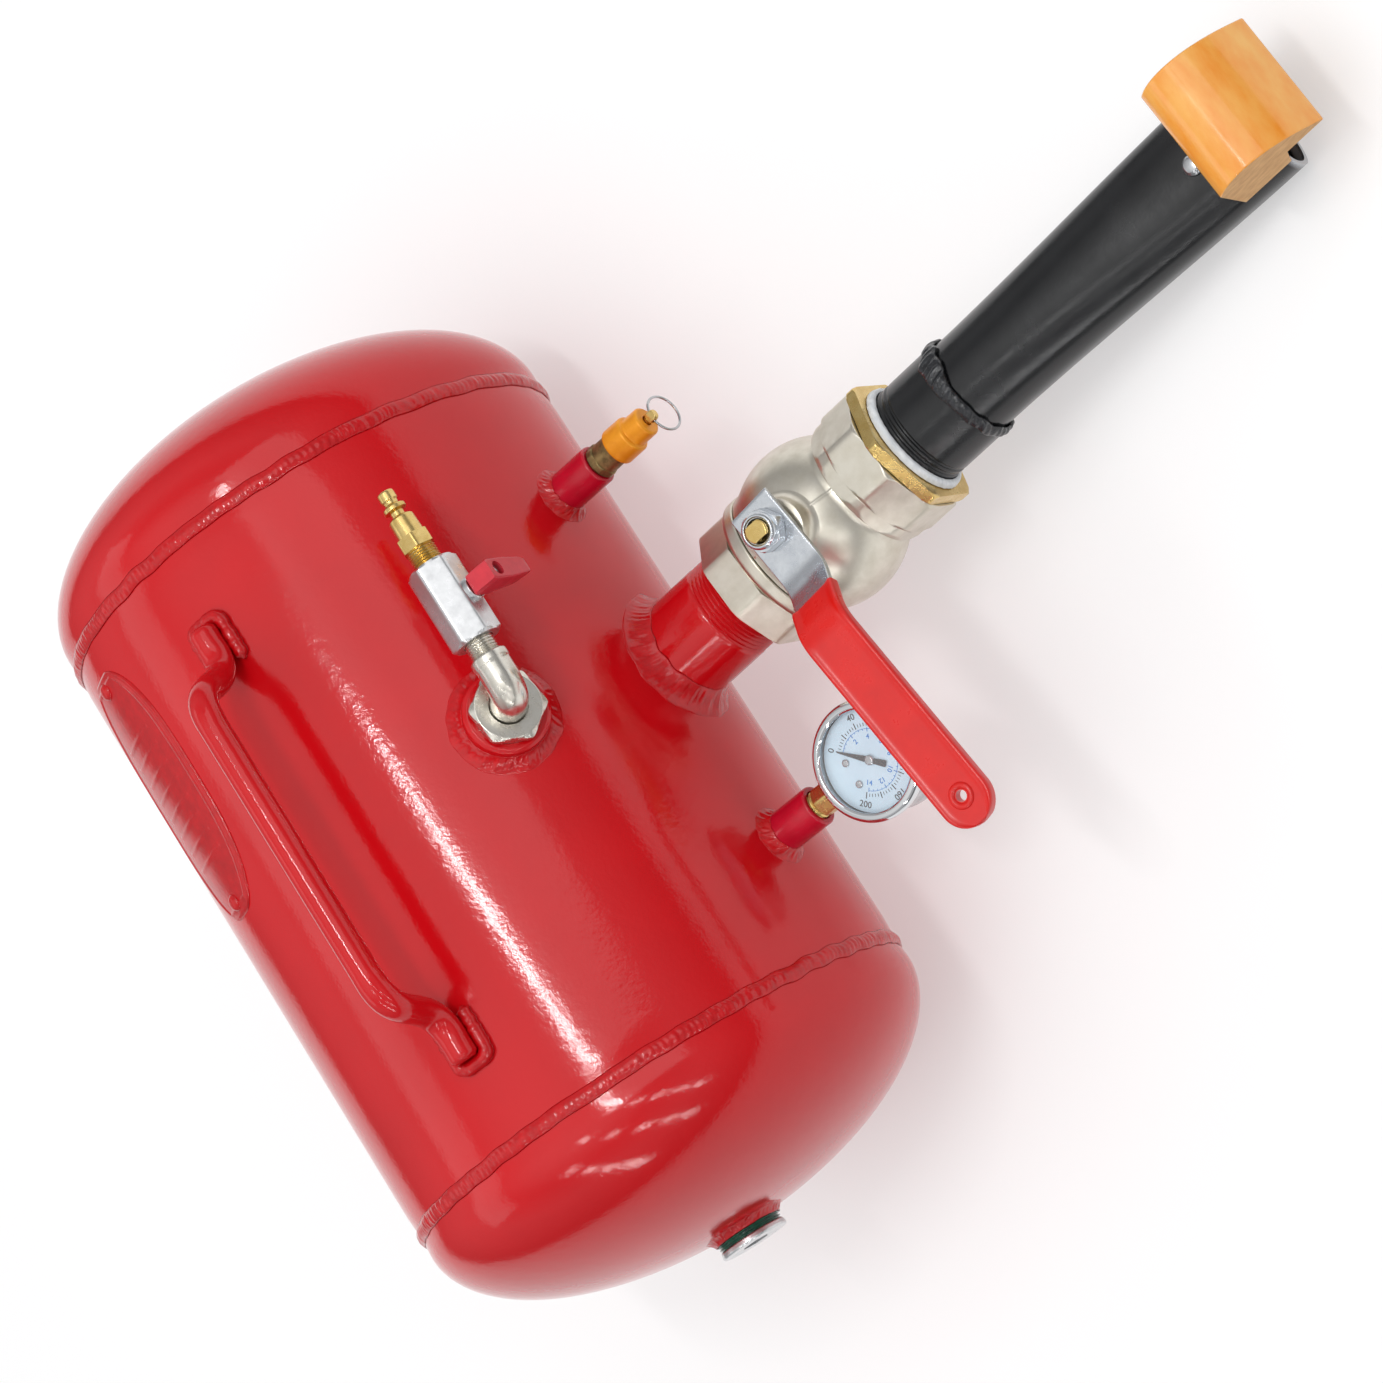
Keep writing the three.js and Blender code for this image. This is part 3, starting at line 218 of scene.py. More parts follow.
def lathe(profile, around=96, limit=None, closed=True):
    """A profile of (radius, height) carried round the third axis. limit(angle, height) caps the radius, which
    planes flats on a turned bar. An open profile starts and ends on the axis."""
    profile = np.asarray(profile, float)
    t = np.linspace(0, 2 * np.pi, around, endpoint=False)[:, None]
    r = np.broadcast_to(profile[None, :, 0], (around, len(profile)))
    z = np.broadcast_to(profile[None, :, 1], r.shape)
    if limit is not None:
        r = np.minimum(r, limit(t, z))
    return skin(np.stack([r * np.cos(t), r * np.sin(t), z], -1), True, closed)


def turned(corners, ease=0.3, around=96, limit=None, solid=False):
    """A profile with eased corners, turned. A solid one starts and ends on the axis; any other is a ring."""
    return lathe(soften(corners, ease, closed=not solid), around, limit, closed=not solid)


def flats(across, sides, first=0.0, ease=5.0):
    """Radius of a bar with flat sides: half its width over the cosine of the angle from the nearest flat's
    middle, softly capped just under the corner so that the corner is round."""
    def limit(t, z):
        step = 2 * np.pi / sides
        a = (t - math.radians(first) + step / 2) % step - step / 2
        flat = across / 2 / np.cos(a)
        corner = across / 2 / math.cos(step / 2) - 0.25
        return flat - np.log(1 + np.exp(ease * (flat - corner))) / ease + 0 * z
    return limit


def tube(path, side, section):
    """A closed section carried along a flat path. side is the direction square to the path's plane, and the
    section gives, for each step, offsets along side and along the path's own normal."""
    step = np.gradient(path, axis=0)
    step /= np.linalg.norm(step, axis=1)[:, None]
    side = unit(side)
    normal = np.cross(step, side)
    section = np.asarray(section, float)
    if section.ndim == 2:
        section = np.broadcast_to(section[None], (len(path), *section.shape))
    grid = path[:, None] + section[..., :1] * side + section[..., 1:] * normal[:, None]
    return skin(grid, False, True, caps=True)


def circle(radius, sides=32):
    """Points round a circle: cosine and sine of equal steps."""
    t = np.linspace(0, 2 * np.pi, sides, endpoint=False)
    return radius * np.stack([np.cos(t), np.sin(t)], -1)


def bent(corners, radius, gap=1.5):
    """A path through the corners with each one rounded, then spaced evenly by length."""
    c = np.asarray(corners, float)
    a = c[1:-1] + (c[:-2] - c[1:-1]) / np.linalg.norm(c[:-2] - c[1:-1], axis=1)[:, None] * radius
    b = c[1:-1] + (c[2:] - c[1:-1]) / np.linalg.norm(c[2:] - c[1:-1], axis=1)[:, None] * radius
    s = np.linspace(0, 1, 24)[None, :, None]
    arcs = (1 - s) ** 2 * a[:, None] + 2 * s * (1 - s) * c[1:-1, None] + s ** 2 * b[:, None]
    p = np.vstack([c[:1], arcs.reshape(-1, c.shape[1]), c[-1:]])
    run = np.concatenate([[0], np.cumsum(np.linalg.norm(np.diff(p, axis=0), axis=1))])
    n = max(8, int(run[-1] / gap))
    even = np.linspace(0, run[-1], n)
    return np.stack([np.interp(even, run, p[:, k]) for k in range(c.shape[1])], -1)


def uneven(t, seed, low=3, count=9):
    """A hand-made wobble round a circle: a sum of sines whose turns and starts come from the seed."""
    rng = np.random.default_rng(seed)
    n = rng.integers(low, low * 6, count)[:, None]
    start = rng.uniform(0, 2 * np.pi, (count, 1))
    size = rng.uniform(0.4, 1, (count, 1)) / np.sqrt(count)
    flat = np.asarray(t, float).reshape(1, -1)
    return (size * np.sin(n * flat + start)).sum(0).reshape(np.shape(t))


# %% [markdown]
# ## Finishes
# Every finish starts from what the real one is. `colour` turns an sRGB hex value into the linear numbers
# that the shader wants, and `node` adds one node with its settings and its links. Patterns read Object
# coordinates, which here are metres in the row frame, so a scale of 1000 divided by a size in millimetres
# gives a pattern of about that size.

# %% Colours and nodes
def colour(code):
    """sRGB hex to linear: values under 0.04045 divide by 12.92, the rest follow the 2.4 power."""
    c = np.array([int(code[i:i + 2], 16) for i in (1, 3, 5)]) / 255
    c = np.where(c <= 0.04045, c / 12.92, ((c + 0.055) / 1.055) ** 2.4)
    return (*map(float, c), 1.0)


def node(tree, kind, links=None, values=None, **settings):
    """Adds a node. links maps a socket to (node, output), values maps a socket to a number or colour."""
    n = tree.nodes.new(kind)
    for key, value in settings.items():
        setattr(n, key, value)
    for key, value in (values or {}).items():
        n.inputs[key].default_value = value
    for key, (source, output) in (links or {}).items():
        tree.links.new(source.outputs[output], n.inputs[key])
    return n


def grain(millimetres):
    """Noise scale for features of about that size, since Object coordinates are metres."""
    return 1000.0 / millimetres


def finish(name, base, other=None, patch=12.0, share=0.5, roughness=0.4, rough_spread=0.0, metallic=0.0,
           bump=(), stretch=(1, 1, 1), **sockets):
    """A finish: a base colour that drifts to another in patches, a roughness that drifts with it, and up to
    two bumps, each (size in mm, height in mm). stretch squeezes the pattern along an axis."""
    mat = bpy.data.materials.new(name)
    mat.use_nodes = True
    tree = mat.node_tree
    shader = tree.nodes["Principled BSDF"]
    shader.inputs["Metallic"].default_value = metallic
    shader.inputs["Roughness"].default_value = roughness
    shader.inputs["Base Color"].default_value = colour(base)
    for key, value in sockets.items():
        shader.inputs[key.replace("_", " ")].default_value = value
    at = node(tree, "ShaderNodeTexCoord")
    at = node(tree, "ShaderNodeMapping", {"Vector": (at, "Object")}, {"Scale": stretch})
    cloud = node(tree, "ShaderNodeTexNoise", {"Vector": (at, "Vector")},
                 {"Scale": grain(patch), "Detail": 4.0, "Roughness": 0.6})
    if other:
        mix = node(tree, "ShaderNodeValToRGB", {"Fac": (cloud, "Fac")})
        mix.color_ramp.elements[0].position = 0.5 - 0.35 * share
        mix.color_ramp.elements[1].position = 0.5 + 0.35 * share
        mix.color_ramp.elements[0].color = colour(base)
        mix.color_ramp.elements[1].color = colour(other)
        tree.links.new(mix.outputs["Color"], shader.inputs["Base Color"])
    if rough_spread:
        drift = node(tree, "ShaderNodeMapRange", {"Value": (cloud, "Fac")},
                     {"From Min": 0.3, "From Max": 0.7, "To Min": roughness - rough_spread,
                      "To Max": roughness + rough_spread})
        tree.links.new(drift.outputs["Result"], shader.inputs["Roughness"])
    last = None
    for size, height in bump:
        wave = node(tree, "ShaderNodeTexNoise", {"Vector": (at, "Vector")},
                    {"Scale": grain(size), "Detail": 3.0})
        links = {"Height": (wave, "Fac")}
        if last:
            links["Normal"] = (last, "Normal")
        last = node(tree, "ShaderNodeBump", links, {"Strength": 1.0, "Distance": height / 1000})
    if last:
        tree.links.new(last.outputs["Normal"], shader.inputs["Normal"])
    return mat


# %% [markdown]
# ### The tool's finishes
# The tank is steel sprayed with gloss enamel, whose skin always has a faint orange peel of a few millimetres.
# The valve is forged brass, blasted and nickel plated, so it is satin with a fine grain. The lever is zinc
# plated and half dipped in vinyl. Small fittings are bare turned brass.

# %% Make the finishes
RED = finish("red_gloss_enamel_on_steel", "#c80b14", "#c00912", patch=60, roughness=0.11, rough_spread=0.02,
             bump=[(5.0, 0.08), (1.6, 0.05)])
RED_BEAD = finish("red_enamel_over_weld_bead", "#c40a13", "#b0070f", patch=4, roughness=0.16,
                  rough_spread=0.04, bump=[(2.6, 0.16), (0.9, 0.03)])
CRIMSON = finish("crimson_enamel_on_couplings", "#be0d2a", "#b00a24", patch=8, roughness=0.2,
                 bump=[(3.0, 0.03)])
PLATE_RED = finish("red_enamel_on_pressed_plate", "#c20a13", "#b00810", patch=5, roughness=0.17,
                   bump=[(1.8, 0.08)])
BLACK_PAINT = {"base": "#0d0e10", "other": "#141517", "patch": 20, "roughness": 0.24, "rough_spread": 0.05,
               "bump": [(1.4, 0.02), (9, 0.05)]}
BLACK = finish("black_gloss_enamel_on_steel", **BLACK_PAINT)
BLACK_BEAD = finish("black_enamel_over_weld_bead", "#101113", "#2a2c30", patch=2.5, share=0.6, roughness=0.2,
                    bump=[(1.8, 0.3), (0.7, 0.08)])
NICKEL = finish("blasted_nickel_plate_on_brass", "#dcd7ca", "#cdc7b8", patch=9, roughness=0.36, metallic=1.0,
                rough_spread=0.05, bump=[(0.7, 0.016), (0.3, 0.008)])
NICKEL_BRIGHT = finish("turned_nickel_plate_on_brass", "#dedbd2", "#d0cbc0", patch=6, roughness=0.26,
                       metallic=1.0, rough_spread=0.05, bump=[(0.8, 0.006)])
PALE_HEX = finish("drawn_nickel_hexagon_bar", "#d9dadb", "#c6c7c8", patch=5, roughness=0.3, metallic=1.0,
                  rough_spread=0.05, bump=[(0.6, 0.006)])
ZINC = finish("bright_zinc_plate_on_steel", "#d9dde1", "#c3c8ce", patch=7, roughness=0.24, metallic=1.0,
              rough_spread=0.08, bump=[(1.2, 0.008)])
STEEL = finish("bright_steel", "#c6c8ca", "#aaacae", patch=4, roughness=0.24, metallic=1.0, rough_spread=0.04)
CHROME = finish("polished_chrome_plate", "#dcdee0", roughness=0.08, metallic=1.0, bump=[(9.0, 0.004)])
BRASS = finish("turned_brass", "#e2c683", "#d0b06a", patch=5, roughness=0.27, metallic=1.0, rough_spread=0.06,
               bump=[(0.5, 0.006)])
DARK_BRASS = finish("dulled_brass", "#a08a5c", "#6f6040", patch=3, roughness=0.42, metallic=0.9,
                    rough_spread=0.08, bump=[(0.6, 0.012)])
AMBER = finish("amber_anodised_aluminium", "#f2a01c", "#e58f12", patch=6, roughness=0.34, metallic=0.25,
               bump=[(0.8, 0.008)])
VINYL = finish("red_dipped_vinyl", "#d8170f", "#cc120c", patch=14, roughness=0.3, rough_spread=0.05,
               bump=[(2.2, 0.03)], Coat_Weight=0.1, Coat_Roughness=0.15)
WING = finish("red_painted_wing", "#cf2c3a", "#c02434", patch=5, roughness=0.4, bump=[(0.9, 0.02)])
PTFE = finish("wound_thread_tape", "#e9ecee", "#cfd4d8", patch=2, roughness=0.6, bump=[(0.8, 0.08)],
              stretch=(1, 0.25, 1))
SEALANT = finish("cured_thread_sealant", "#1c5b45", "#0d3327", patch=2.5, roughness=0.2, bump=[(1.5, 0.2)],
                 Coat_Weight=0.6, Coat_Roughness=0.05)
CARD = finish("printed_dial", "#cde6f4", "#c3deee", patch=20, roughness=0.5)
INK_BLACK = finish("black_ink", "#15171a", roughness=0.5)
INK_BLUE = finish("blue_ink", "#1f7fd0", roughness=0.5)
POINTER = finish("black_pointer_lacquer", "#17181a", roughness=0.4)
LACQUER = finish("orange_lacquer_on_pad", "#ea8c22", "#f2b65c", patch=11, share=0.7, roughness=0.2,
                 rough_spread=0.05, bump=[(6.0, 0.10), (1.0, 0.01)], stretch=(1, 0.4, 1), Coat_Weight=0.6,
                 Coat_Roughness=0.06)
END_GRAIN = finish("sawn_end_of_pad", "#d9a86a", "#c08c4e", patch=2.2, roughness=0.62,
                   bump=[(0.8, 0.09)], stretch=(0.35, 1, 1))
LENS = finish("clear_lens", "#ffffff", roughness=0.03, Alpha=0.08)
print("finishes", len(bpy.data.materials))

# %% [markdown]
# ## Tank
# The tank is a rolled shell with two pressed heads, welded at two seams. It is one turned surface: a straight
# side, an elliptical dome at each end, and a shallow dip on each side of the seam, where the weld has drawn
# the sheet in as it cooled.

# %% Tank skin
def tank_profile():
    """Radius and height from pole to pole: domes are quarter ellipses of 125 by 61 mm on a 9 mm skirt, and a
    bell curve 0.7 mm deep and 7 mm wide is taken off at each seam."""
    t = np.linspace(0, np.pi / 2, 60)
    r, z = TANK_R * np.sin(t), TANK_HALF + 9 + 61 * np.cos(t)
    side = np.linspace(TANK_HALF + 8, -TANK_HALF - 8, 160)
    z = np.concatenate([z, side, -z[::-1]])
    r = np.concatenate([r, np.full(160, TANK_R), r[::-1]])
    r = r - 0.7 * np.exp(-(((np.abs(z) - TANK_HALF) / 7) ** 2)) * (r > 100)
    return np.stack([r, z], -1)


piece("tank_skin", [lathe(tank_profile(), 240, closed=False)], TANK, "tank", RED,
      ["tank_shell", "head_plain", "head_drain"])

# %% [markdown]
# ## Weld beads
# A weld bead is metal that froze drop by drop, so its surface is a row of small overlapping ridges that are
# never quite even. A fillet bead fills the corner between a fitting and the tank: its section runs from the
# fitting's wall down to the skin, and it follows the skin round the fitting.

# %% Beads
def ground_skin(lean=0.0):
    """Height of the tank's skin over a station: a circle of 125 mm seen from its rim, tipped by the lean."""
    b = math.radians(lean)
    return lambda x, y: (np.sqrt(TANK_R ** 2 - x ** 2) - TANK_R + y * math.sin(b)) / math.cos(b)


def ground_dome(x, y):
    """Height of the dome: 61 mm times the root of one minus the squared radius over 125, less 61."""
    return 61 * (np.sqrt(1 - (x ** 2 + y ** 2) / TANK_R ** 2) - 1)


def fillet(r, leg, ground, seed, lump=0.3, around=300):
    """A bead round a fitting of radius r. The section is half way between a straight line and a quarter cove,
    from a leg up the wall to a leg out on the skin, so it runs smoothly into both. Slow lumps and fine ridges
    that lean over like a row of drops are added in its middle."""
    t = np.linspace(0, 2 * np.pi, around, endpoint=False)[:, None]
    s = np.linspace(0, 1, 15)[None, :]
    size = leg * (1 + 0.06 * uneven(t, seed))
    cove_r, cove_z = 1 - np.cos(s * np.pi / 2), 1 - np.sin(s * np.pi / 2)
    ridges = np.sin(round(np.pi * r / 1.2) * t + 5 * s + uneven(t, seed + 1))
    ripple = lump * np.sin(np.pi * s) * (0.25 * ridges + 0.7 * uneven(t + 4 * s / r, seed + 2, 5, 18))
    dr = np.concatenate([size * (0.5 * s + 0.5 * cove_r) + ripple, size + 0 * t, 0 * t - 0.5], 1)
    dz = np.concatenate([size * (0.5 - 0.5 * s + 0.5 * cove_z) + ripple, 0 * t - 1.2, 0 * t - 1.2], 1)
    q = r + dr
    x, y = q * np.cos(t), q * np.sin(t)
    return skin(np.stack([x, y, ground(x, y) + dz], -1))


def seam(side, seed):
    """A low bead 7 mm wide and 1 mm high round the tank: a flat arch in section with faint ridges."""
    t = np.linspace(0, 2 * np.pi, 1920, endpoint=False)[:, None]
    s = np.linspace(-1, 1, 13)[None, :]
    height = 1.1 * (1 - s ** 2) - 0.25
    lump = (1 - s ** 2) * (0.09 * np.sin(260 * t + 2.6 * s ** 2 + 3 * uneven(t, seed, 9)) +
                           0.16 * uneven(t + 0.01 * s, seed + 3, 30, 24))
    r = np.concatenate([TANK_R + height + lump, np.full_like(t, TANK_R - 2)], 1)
    z = side * TANK_HALF + np.concatenate([3.6 * s + 0.4 * uneven(t, seed + 5, 9, 12) + 0 * lump, 0 * t], 1)
    return skin(np.stack([r * np.cos(t), r * np.sin(t), z], -1))


for end, side, seed in (("plain", 1, 11), ("drain", -1, 23)):
    piece("seam_bead_" + end, [seam(side, seed)], TANK, "tank", RED_BEAD, ["seam_weld_" + end],
          180)
for name, at, r, leg, ground in [
        ("outlet_weld", OUTLET, 23.9, 8.5, ground_skin(LEAN)), ("inlet_weld", INLET, 19, 6, ground_skin()),
        ("safety_weld", SAFETY, 9.5, 4.5, ground_skin()), ("gauge_weld", GAUGE, 9.5, 4.5, ground_skin()),
        ("drain_weld", DRAIN, 16.5, 3.2, ground_dome)]:
    piece(name + "_bead", [fillet(r, leg, ground, len(name) * 7)], at, "tank", RED_BEAD, [name],
          180)

# %% [markdown]
# ## Carry handle
# The handle is a round bar bent four times, with its two feet lying along the tank. The bar is a circle
# carried along a bent path, squeezed a little at each bend as a cold bar is. Each foot is held by a bead that
# runs round its end like a horseshoe.

# %% Handle
def handle():
    """A 13 mm circle along the bent path; at a bend it is flattened by up to 8 percent across the plane."""
    low, knee, tip = 6.8, 87.0, 110.0
    path = bent([(0, -tip, low), (0, -knee, low), (0, -77, 40),
                 (0, 77, 40), (0, knee, low), (0, tip, low)], 13)
    step = np.gradient(path, axis=0)
    turn = np.linalg.norm(np.gradient(step / np.linalg.norm(step, axis=1)[:, None], axis=0), axis=1)
    flat = 1 - 0.08 * np.clip(turn / turn.max(), 0, 1)[:, None]
    c = circle(6.5, 40)
    section = np.stack([c[None, :, 0] / flat, c[None, :, 1] * flat], -1)
    return path, section


def rounded_ends(path, section, depth=3.0):
    """Shrinks the first and last few steps as a quarter circle does, so the bar's ends are eased."""
    run = np.concatenate([[0], np.cumsum(np.linalg.norm(np.diff(path, axis=0), axis=1))])
    near = np.clip(np.minimum(run, run[-1] - run) / depth, 0, 1)
    k = 0.72 + 0.28 * np.sqrt(1 - (1 - near) ** 2)
    return section * k[:, None, None]


path, section = handle()
piece("carry_handle_bar", [tube(path, (1, 0, 0), rounded_ends(path, section, 2.2))], GRIP, "tank", RED,
      ["carry_handle"], 60)


def horseshoe(side, seed):
    """A bead of about 3.2 mm radius round three sides of a foot, with its radius rippling along the run."""
    end, start, wide = side * 112.6, side * 89.0, 8.0
    path = bent([(-wide, start, 1.2), (-wide, end, 1.4), (wide, end, 1.4), (wide, start, 1.2)], 5, 0.7)
    n = np.linspace(0, 1, len(path))
    ends = np.clip(np.sin(np.pi * n) * 9, 0.25, 1)
    size = 3.2 * (1 + 0.02 * np.sin(110 * n) + 0.10 * uneven(6 * n, seed)) * ends
    c = circle(1.0, 20)
    section = size[:, None, None] * c[None]
    return tube(path, (0, 0, 1), section)


for end, side, seed in (("plain", 1, 31), ("drain", -1, 37)):
    piece("handle_bead_" + end, [horseshoe(side, seed)], GRIP, "tank", RED_BEAD, ["handle_weld_" + end],
          180)

# %% [markdown]
# ## Rating plate
# A thin pressed plate is riveted to the shell and painted over with it. Real plates carry lettering; this one
# has only a raised border and plain raised lines. It is a height over the tank's skin, drawn on a grid that
# narrows to the plate's outline.

# %% Plate
def plate():
    """Half width 5 plus 25.5 times (1 - |v/63| cubed) to the 0.55; the height is 1.1 mm, falls to nothing in
    the last 1.2 mm, and carries a border 3.5 mm in and plain lines across the middle."""
    v = 63 * np.sin(np.linspace(-np.pi / 2, np.pi / 2, 200))[:, None]
    w = 5 + 25.5 * np.clip(1 - np.abs(v / 63) ** 3, 0, 1) ** 0.55
    u = np.linspace(-1, 1, 120)[None, :]
    x = w * u
    edge = np.minimum(w - np.abs(x), 0.8 * (63 - np.abs(v)) + 0 * x)
    rise = 1.1 * np.clip(edge / 1.2, 0, 1) ** 0.6
    rise = rise + 0.45 * np.exp(-((edge - 4.0) / 0.8) ** 2)
    line = np.exp(-(((v + 200) % 9 - 4.5) / 0.7) ** 2) * (np.abs(x) < 17) * (np.abs(v) < 36)
    rise = rise + 0.35 * line
    t = math.radians(125) + x / TANK_R
    top = np.stack([(TANK_R + rise) * np.cos(t), 70 + v + 0 * x, (TANK_R + rise) * np.sin(t)], -1)
    under = np.stack([(TANK_R - 0.6) * np.cos(t), 70 + v + 0 * x, (TANK_R - 0.6) * np.sin(t)], -1)
    return skin(np.concatenate([top, under[:, ::-1]], 1), False, True, caps=True)


PLATE = place(TANK_AT, OUT, ALONG, UP)
head = turned([(0, 0.4), (4.2, 0.4), (4.0, 1.6), (2.6, 3.0), (0, 3.3)], 0.7, 40, solid=True)
rivets = []
for s in (1, -1):
    m = np.linalg.inv(PLATE) @ station(125, 70 + s * 56)
    rivets.append((put(m, head[0]), head[1]))
piece("rating_plate", [plate(), *rivets], PLATE, "tank", PLATE_RED, ["nameplate"], 50)

# %% [markdown]
# ## Outlet pipe
# The outlet is a short piece of inch-and-a-half pipe with its thread cut right through the paint line. The
# thread is a saw-tooth in the profile, 2.3 mm from crest to crest.

# %% Outlet pipe
def thread(r, z0, z1, pitch, depth):
    """Crests and roots between two heights: each pitch rises to r and falls by the depth."""
    n = max(2, int(round((z1 - z0) / pitch)))
    z = z0 + (z1 - z0) * (np.arange(4 * n) + 0.5) / (4 * n)
    drop = np.tile([0.0, 0.35, 1.0, 0.35], n)
    return np.stack([r - depth * drop, z], -1)


pipe = np.vstack([[(20.1, -7), (23.9, -7), (23.9, 30)], [(23.9, 31)], thread(23.7, 32, 48, 2.31, 1.0),
                  [(22.5, 50), (22.4, 59), (20.1, 59)]])
piece("outlet_pipe", [lathe(pipe, 128)], OUTLET, "tank", RED, ["outlet_nipple"], 50)

# %% [markdown]
# ## Main ball valve
# The valve is forged in two halves that screw together. Each half has an octagon for the spanner, and the
# belly swells over the ball. The round parts are turned profiles; the octagons are the same profiles capped
# by flats. The stem's tower is a second turned surface whose foot spreads to meet the belly.

# %% Valve halves
cap_round = soften([(24.2, 47), (28.6, 47), (28.6, 64), (32.6, 64.4), (33.5, 66), (33.5, 71.1), (28, 71.1),
                    (28, 62), (24.2, 62)], 0.8)
cap_oct = soften([(24.6, 47), (31.4, 47), (33, 48.6), (33, 61.5), (31.6, 62.9), (24.6, 62.9)], 0.5)
piece("valve_end_cap", [lathe(cap_round, 160), lathe(cap_oct, 192, flats(59, 8))], OUTLET, "tank", NICKEL,
      ["main_valve_end_cap"], 40)

f = np.linspace(-0.42, 0.62, 40)
belly = np.stack([38 * np.sqrt(1 - f ** 2), STEM_Z + 38 * f], -1)
outer = np.vstack([[(27.5, 71.35), (32.6, 71.35), (33.2, 71.9), (33.3, 73.6)], belly,
                   [(29.4, 119.0), (29.2, 121), (29.0, 124), (29.0, 142.9),
                    (27.9, 142.9), (27.9, 128), (27.5, 90)]])
oct_end = soften([(27.9, 125.0), (31.4, 125.0), (33.2, 127), (33.4, 141.4), (32, 143), (27.9, 143)], 0.5)
oct_neck = soften([(27.9, 118), (30.6, 118.5), (31.6, 121), (31.8, 125.6), (27.9, 125.6)], 0.6)


def belly_height(x, y):
    """Height of the belly over the stem's plane: its radius at that distance along, less the side step."""
    r = np.interp(x, belly[:, 1] - STEM_Z, belly[:, 0], left=33, right=29.3)
    return np.sqrt(np.clip(r ** 2 - y ** 2, 1, None))


def tower(top=44.0, wall=13.0, spread=4.0):
    """A round boss: flat top, eased rim, straight wall, and a foot that leaves the wall as a quarter circle
    and lands on the belly a little outside it."""
    t = np.linspace(0, 2 * np.pi, 128, endpoint=False)[:, None]
    ringed = np.array([(7.4, top - 2), (7.4, top), (wall - 0.9, top), (wall - 0.2, top - 0.3),
                       (wall, top - 1)])
    r0 = np.broadcast_to(ringed[None, :, 0], (128, 5))
    z0 = np.broadcast_to(ringed[None, :, 1], (128, 5))
    s = np.linspace(0, 1, 9)[None, :]
    r1 = wall + spread * (1 - np.cos(s * np.pi / 2)) + 0 * t
    ground = belly_height(r1 * np.cos(t), r1 * np.sin(t))
    z1 = ground - 0.15 + spread * 0.9 * (1 - np.sin(s * np.pi / 2))
    deep = np.broadcast_to(np.array([22.0, 22.0])[None], (128, 2))
    r = np.concatenate([r0, r1, np.broadcast_to(np.array([[14.0, 7.4]]), (128, 2))], 1)
    z = np.concatenate([z0, z1, deep], 1)
    return skin(np.stack([r * np.cos(t), r * np.sin(t), z], -1))


def parting_line(grid_points):
    """A forging flash: points within a millimetre of the stem's plane are raised by 0.25 mm."""
    p = grid_points.copy()
    r = np.hypot(p[:, 0], p[:, 1])
    lift = 0.28 * np.exp(-(p[:, 1] / 0.55) ** 2) * (r > 28.9) * (p[:, 2] > 73)
    return p * (1 + (lift / np.maximum(r, 1))[:, None] * np.array([1, 1, 0]))


body_round = lathe(outer, 720)
body_round = (parting_line(body_round[0]), body_round[1])
to_outlet = np.linalg.inv(OUTLET) @ STEM
neck = tower()
shells = [body_round, lathe(oct_end, 192, flats(62, 8)), lathe(oct_neck, 192, flats(60.4, 8)),
          (put(to_outlet, neck[0]), neck[1])]
piece("valve_body_forging", shells, OUTLET, "tank", NICKEL, ["main_valve_body"], 40)

# %% [markdown]
# ## Lever, sleeve, stem and nut
# The lever is a flat zinc-plated bar, joggled so that the hand clears the valve. The sleeve is vinyl that the
# bar was dipped in, so it follows the bar with soft corners and a raised edge. Both have the hang hole, which
# is cut with a Boolean because a hole through a swept grid has no simple formula.

# %% Lever frame and bar
LEVER = STEM @ turn_z(-90 + 3.3)
HEIGHT, REACH, WIDE = 48.5, 158.0, 22.0
mid = HEIGHT + 1.5
joggle = [(-14, 0, mid), (26, 0, mid), (52, 0, mid + 21), (REACH - 2, 0, mid + 21)]


def bar_section(half_wide, half_thick, ease, dish=0.0):
    """A flat oblong with eased corners, as offsets across and up. dish lowers the middle of both faces."""
    corner = np.array([(-half_wide, -half_thick), (half_wide, -half_thick), (half_wide, half_thick),
                       (-half_wide, half_thick)])
    eased = soften(corner, ease, 6)
    across = np.linspace(-1, 1, 15)[1:-1] * (half_wide - 1.3 * ease)
    low = np.stack([across, np.full(13, -half_thick)], -1)
    high = np.stack([across[::-1], np.full(13, half_thick)], -1)
    k = len(eased) // 4
    ring = np.vstack([eased[:k], low, eased[k:3 * k], high, eased[3 * k:]])
    inner = np.clip((half_wide - np.abs(ring[:, 0]) - 1.6) / 1.4, 0, 1)
    ring[:, 1] -= np.sign(ring[:, 1]) * dish * inner ** 2 * (3 - 2 * inner)
    return ring


def strip(start, end, wide, thick, ease, dish=0.0, swell=0.0):
    """The bar's section carried along the joggled line, narrowing to a half circle at the tip."""
    path = bent(joggle[:-1] + [(end, 0, mid + 21)], 7, 0.8)
    path = path[path[:, 0] >= start]
    base = bar_section(wide / 2, thick / 2, ease, dish)
    tip = wide / 2
    far = np.clip(path[:, 0] - (end - tip), 0, tip - 0.02)
    half = np.sqrt(tip ** 2 - far ** 2) / tip
    thin = np.clip((end - path[:, 0]) / (ease + 0.01), 0, 1)
    back = np.clip((path[:, 0] - start) / (ease + 0.01), 0, 1)
    rim = np.sqrt(1 - (1 - thin) ** 2) * (0.6 + 0.4 * np.sqrt(1 - (1 - back) ** 2))
    lift = (0.35 + 0.65 * rim)[:, None]
    section = np.stack([base[None, :, 0] * half[:, None], base[None, :, 1] * lift], -1)
    return tube(path, (0, 1, 0), section)


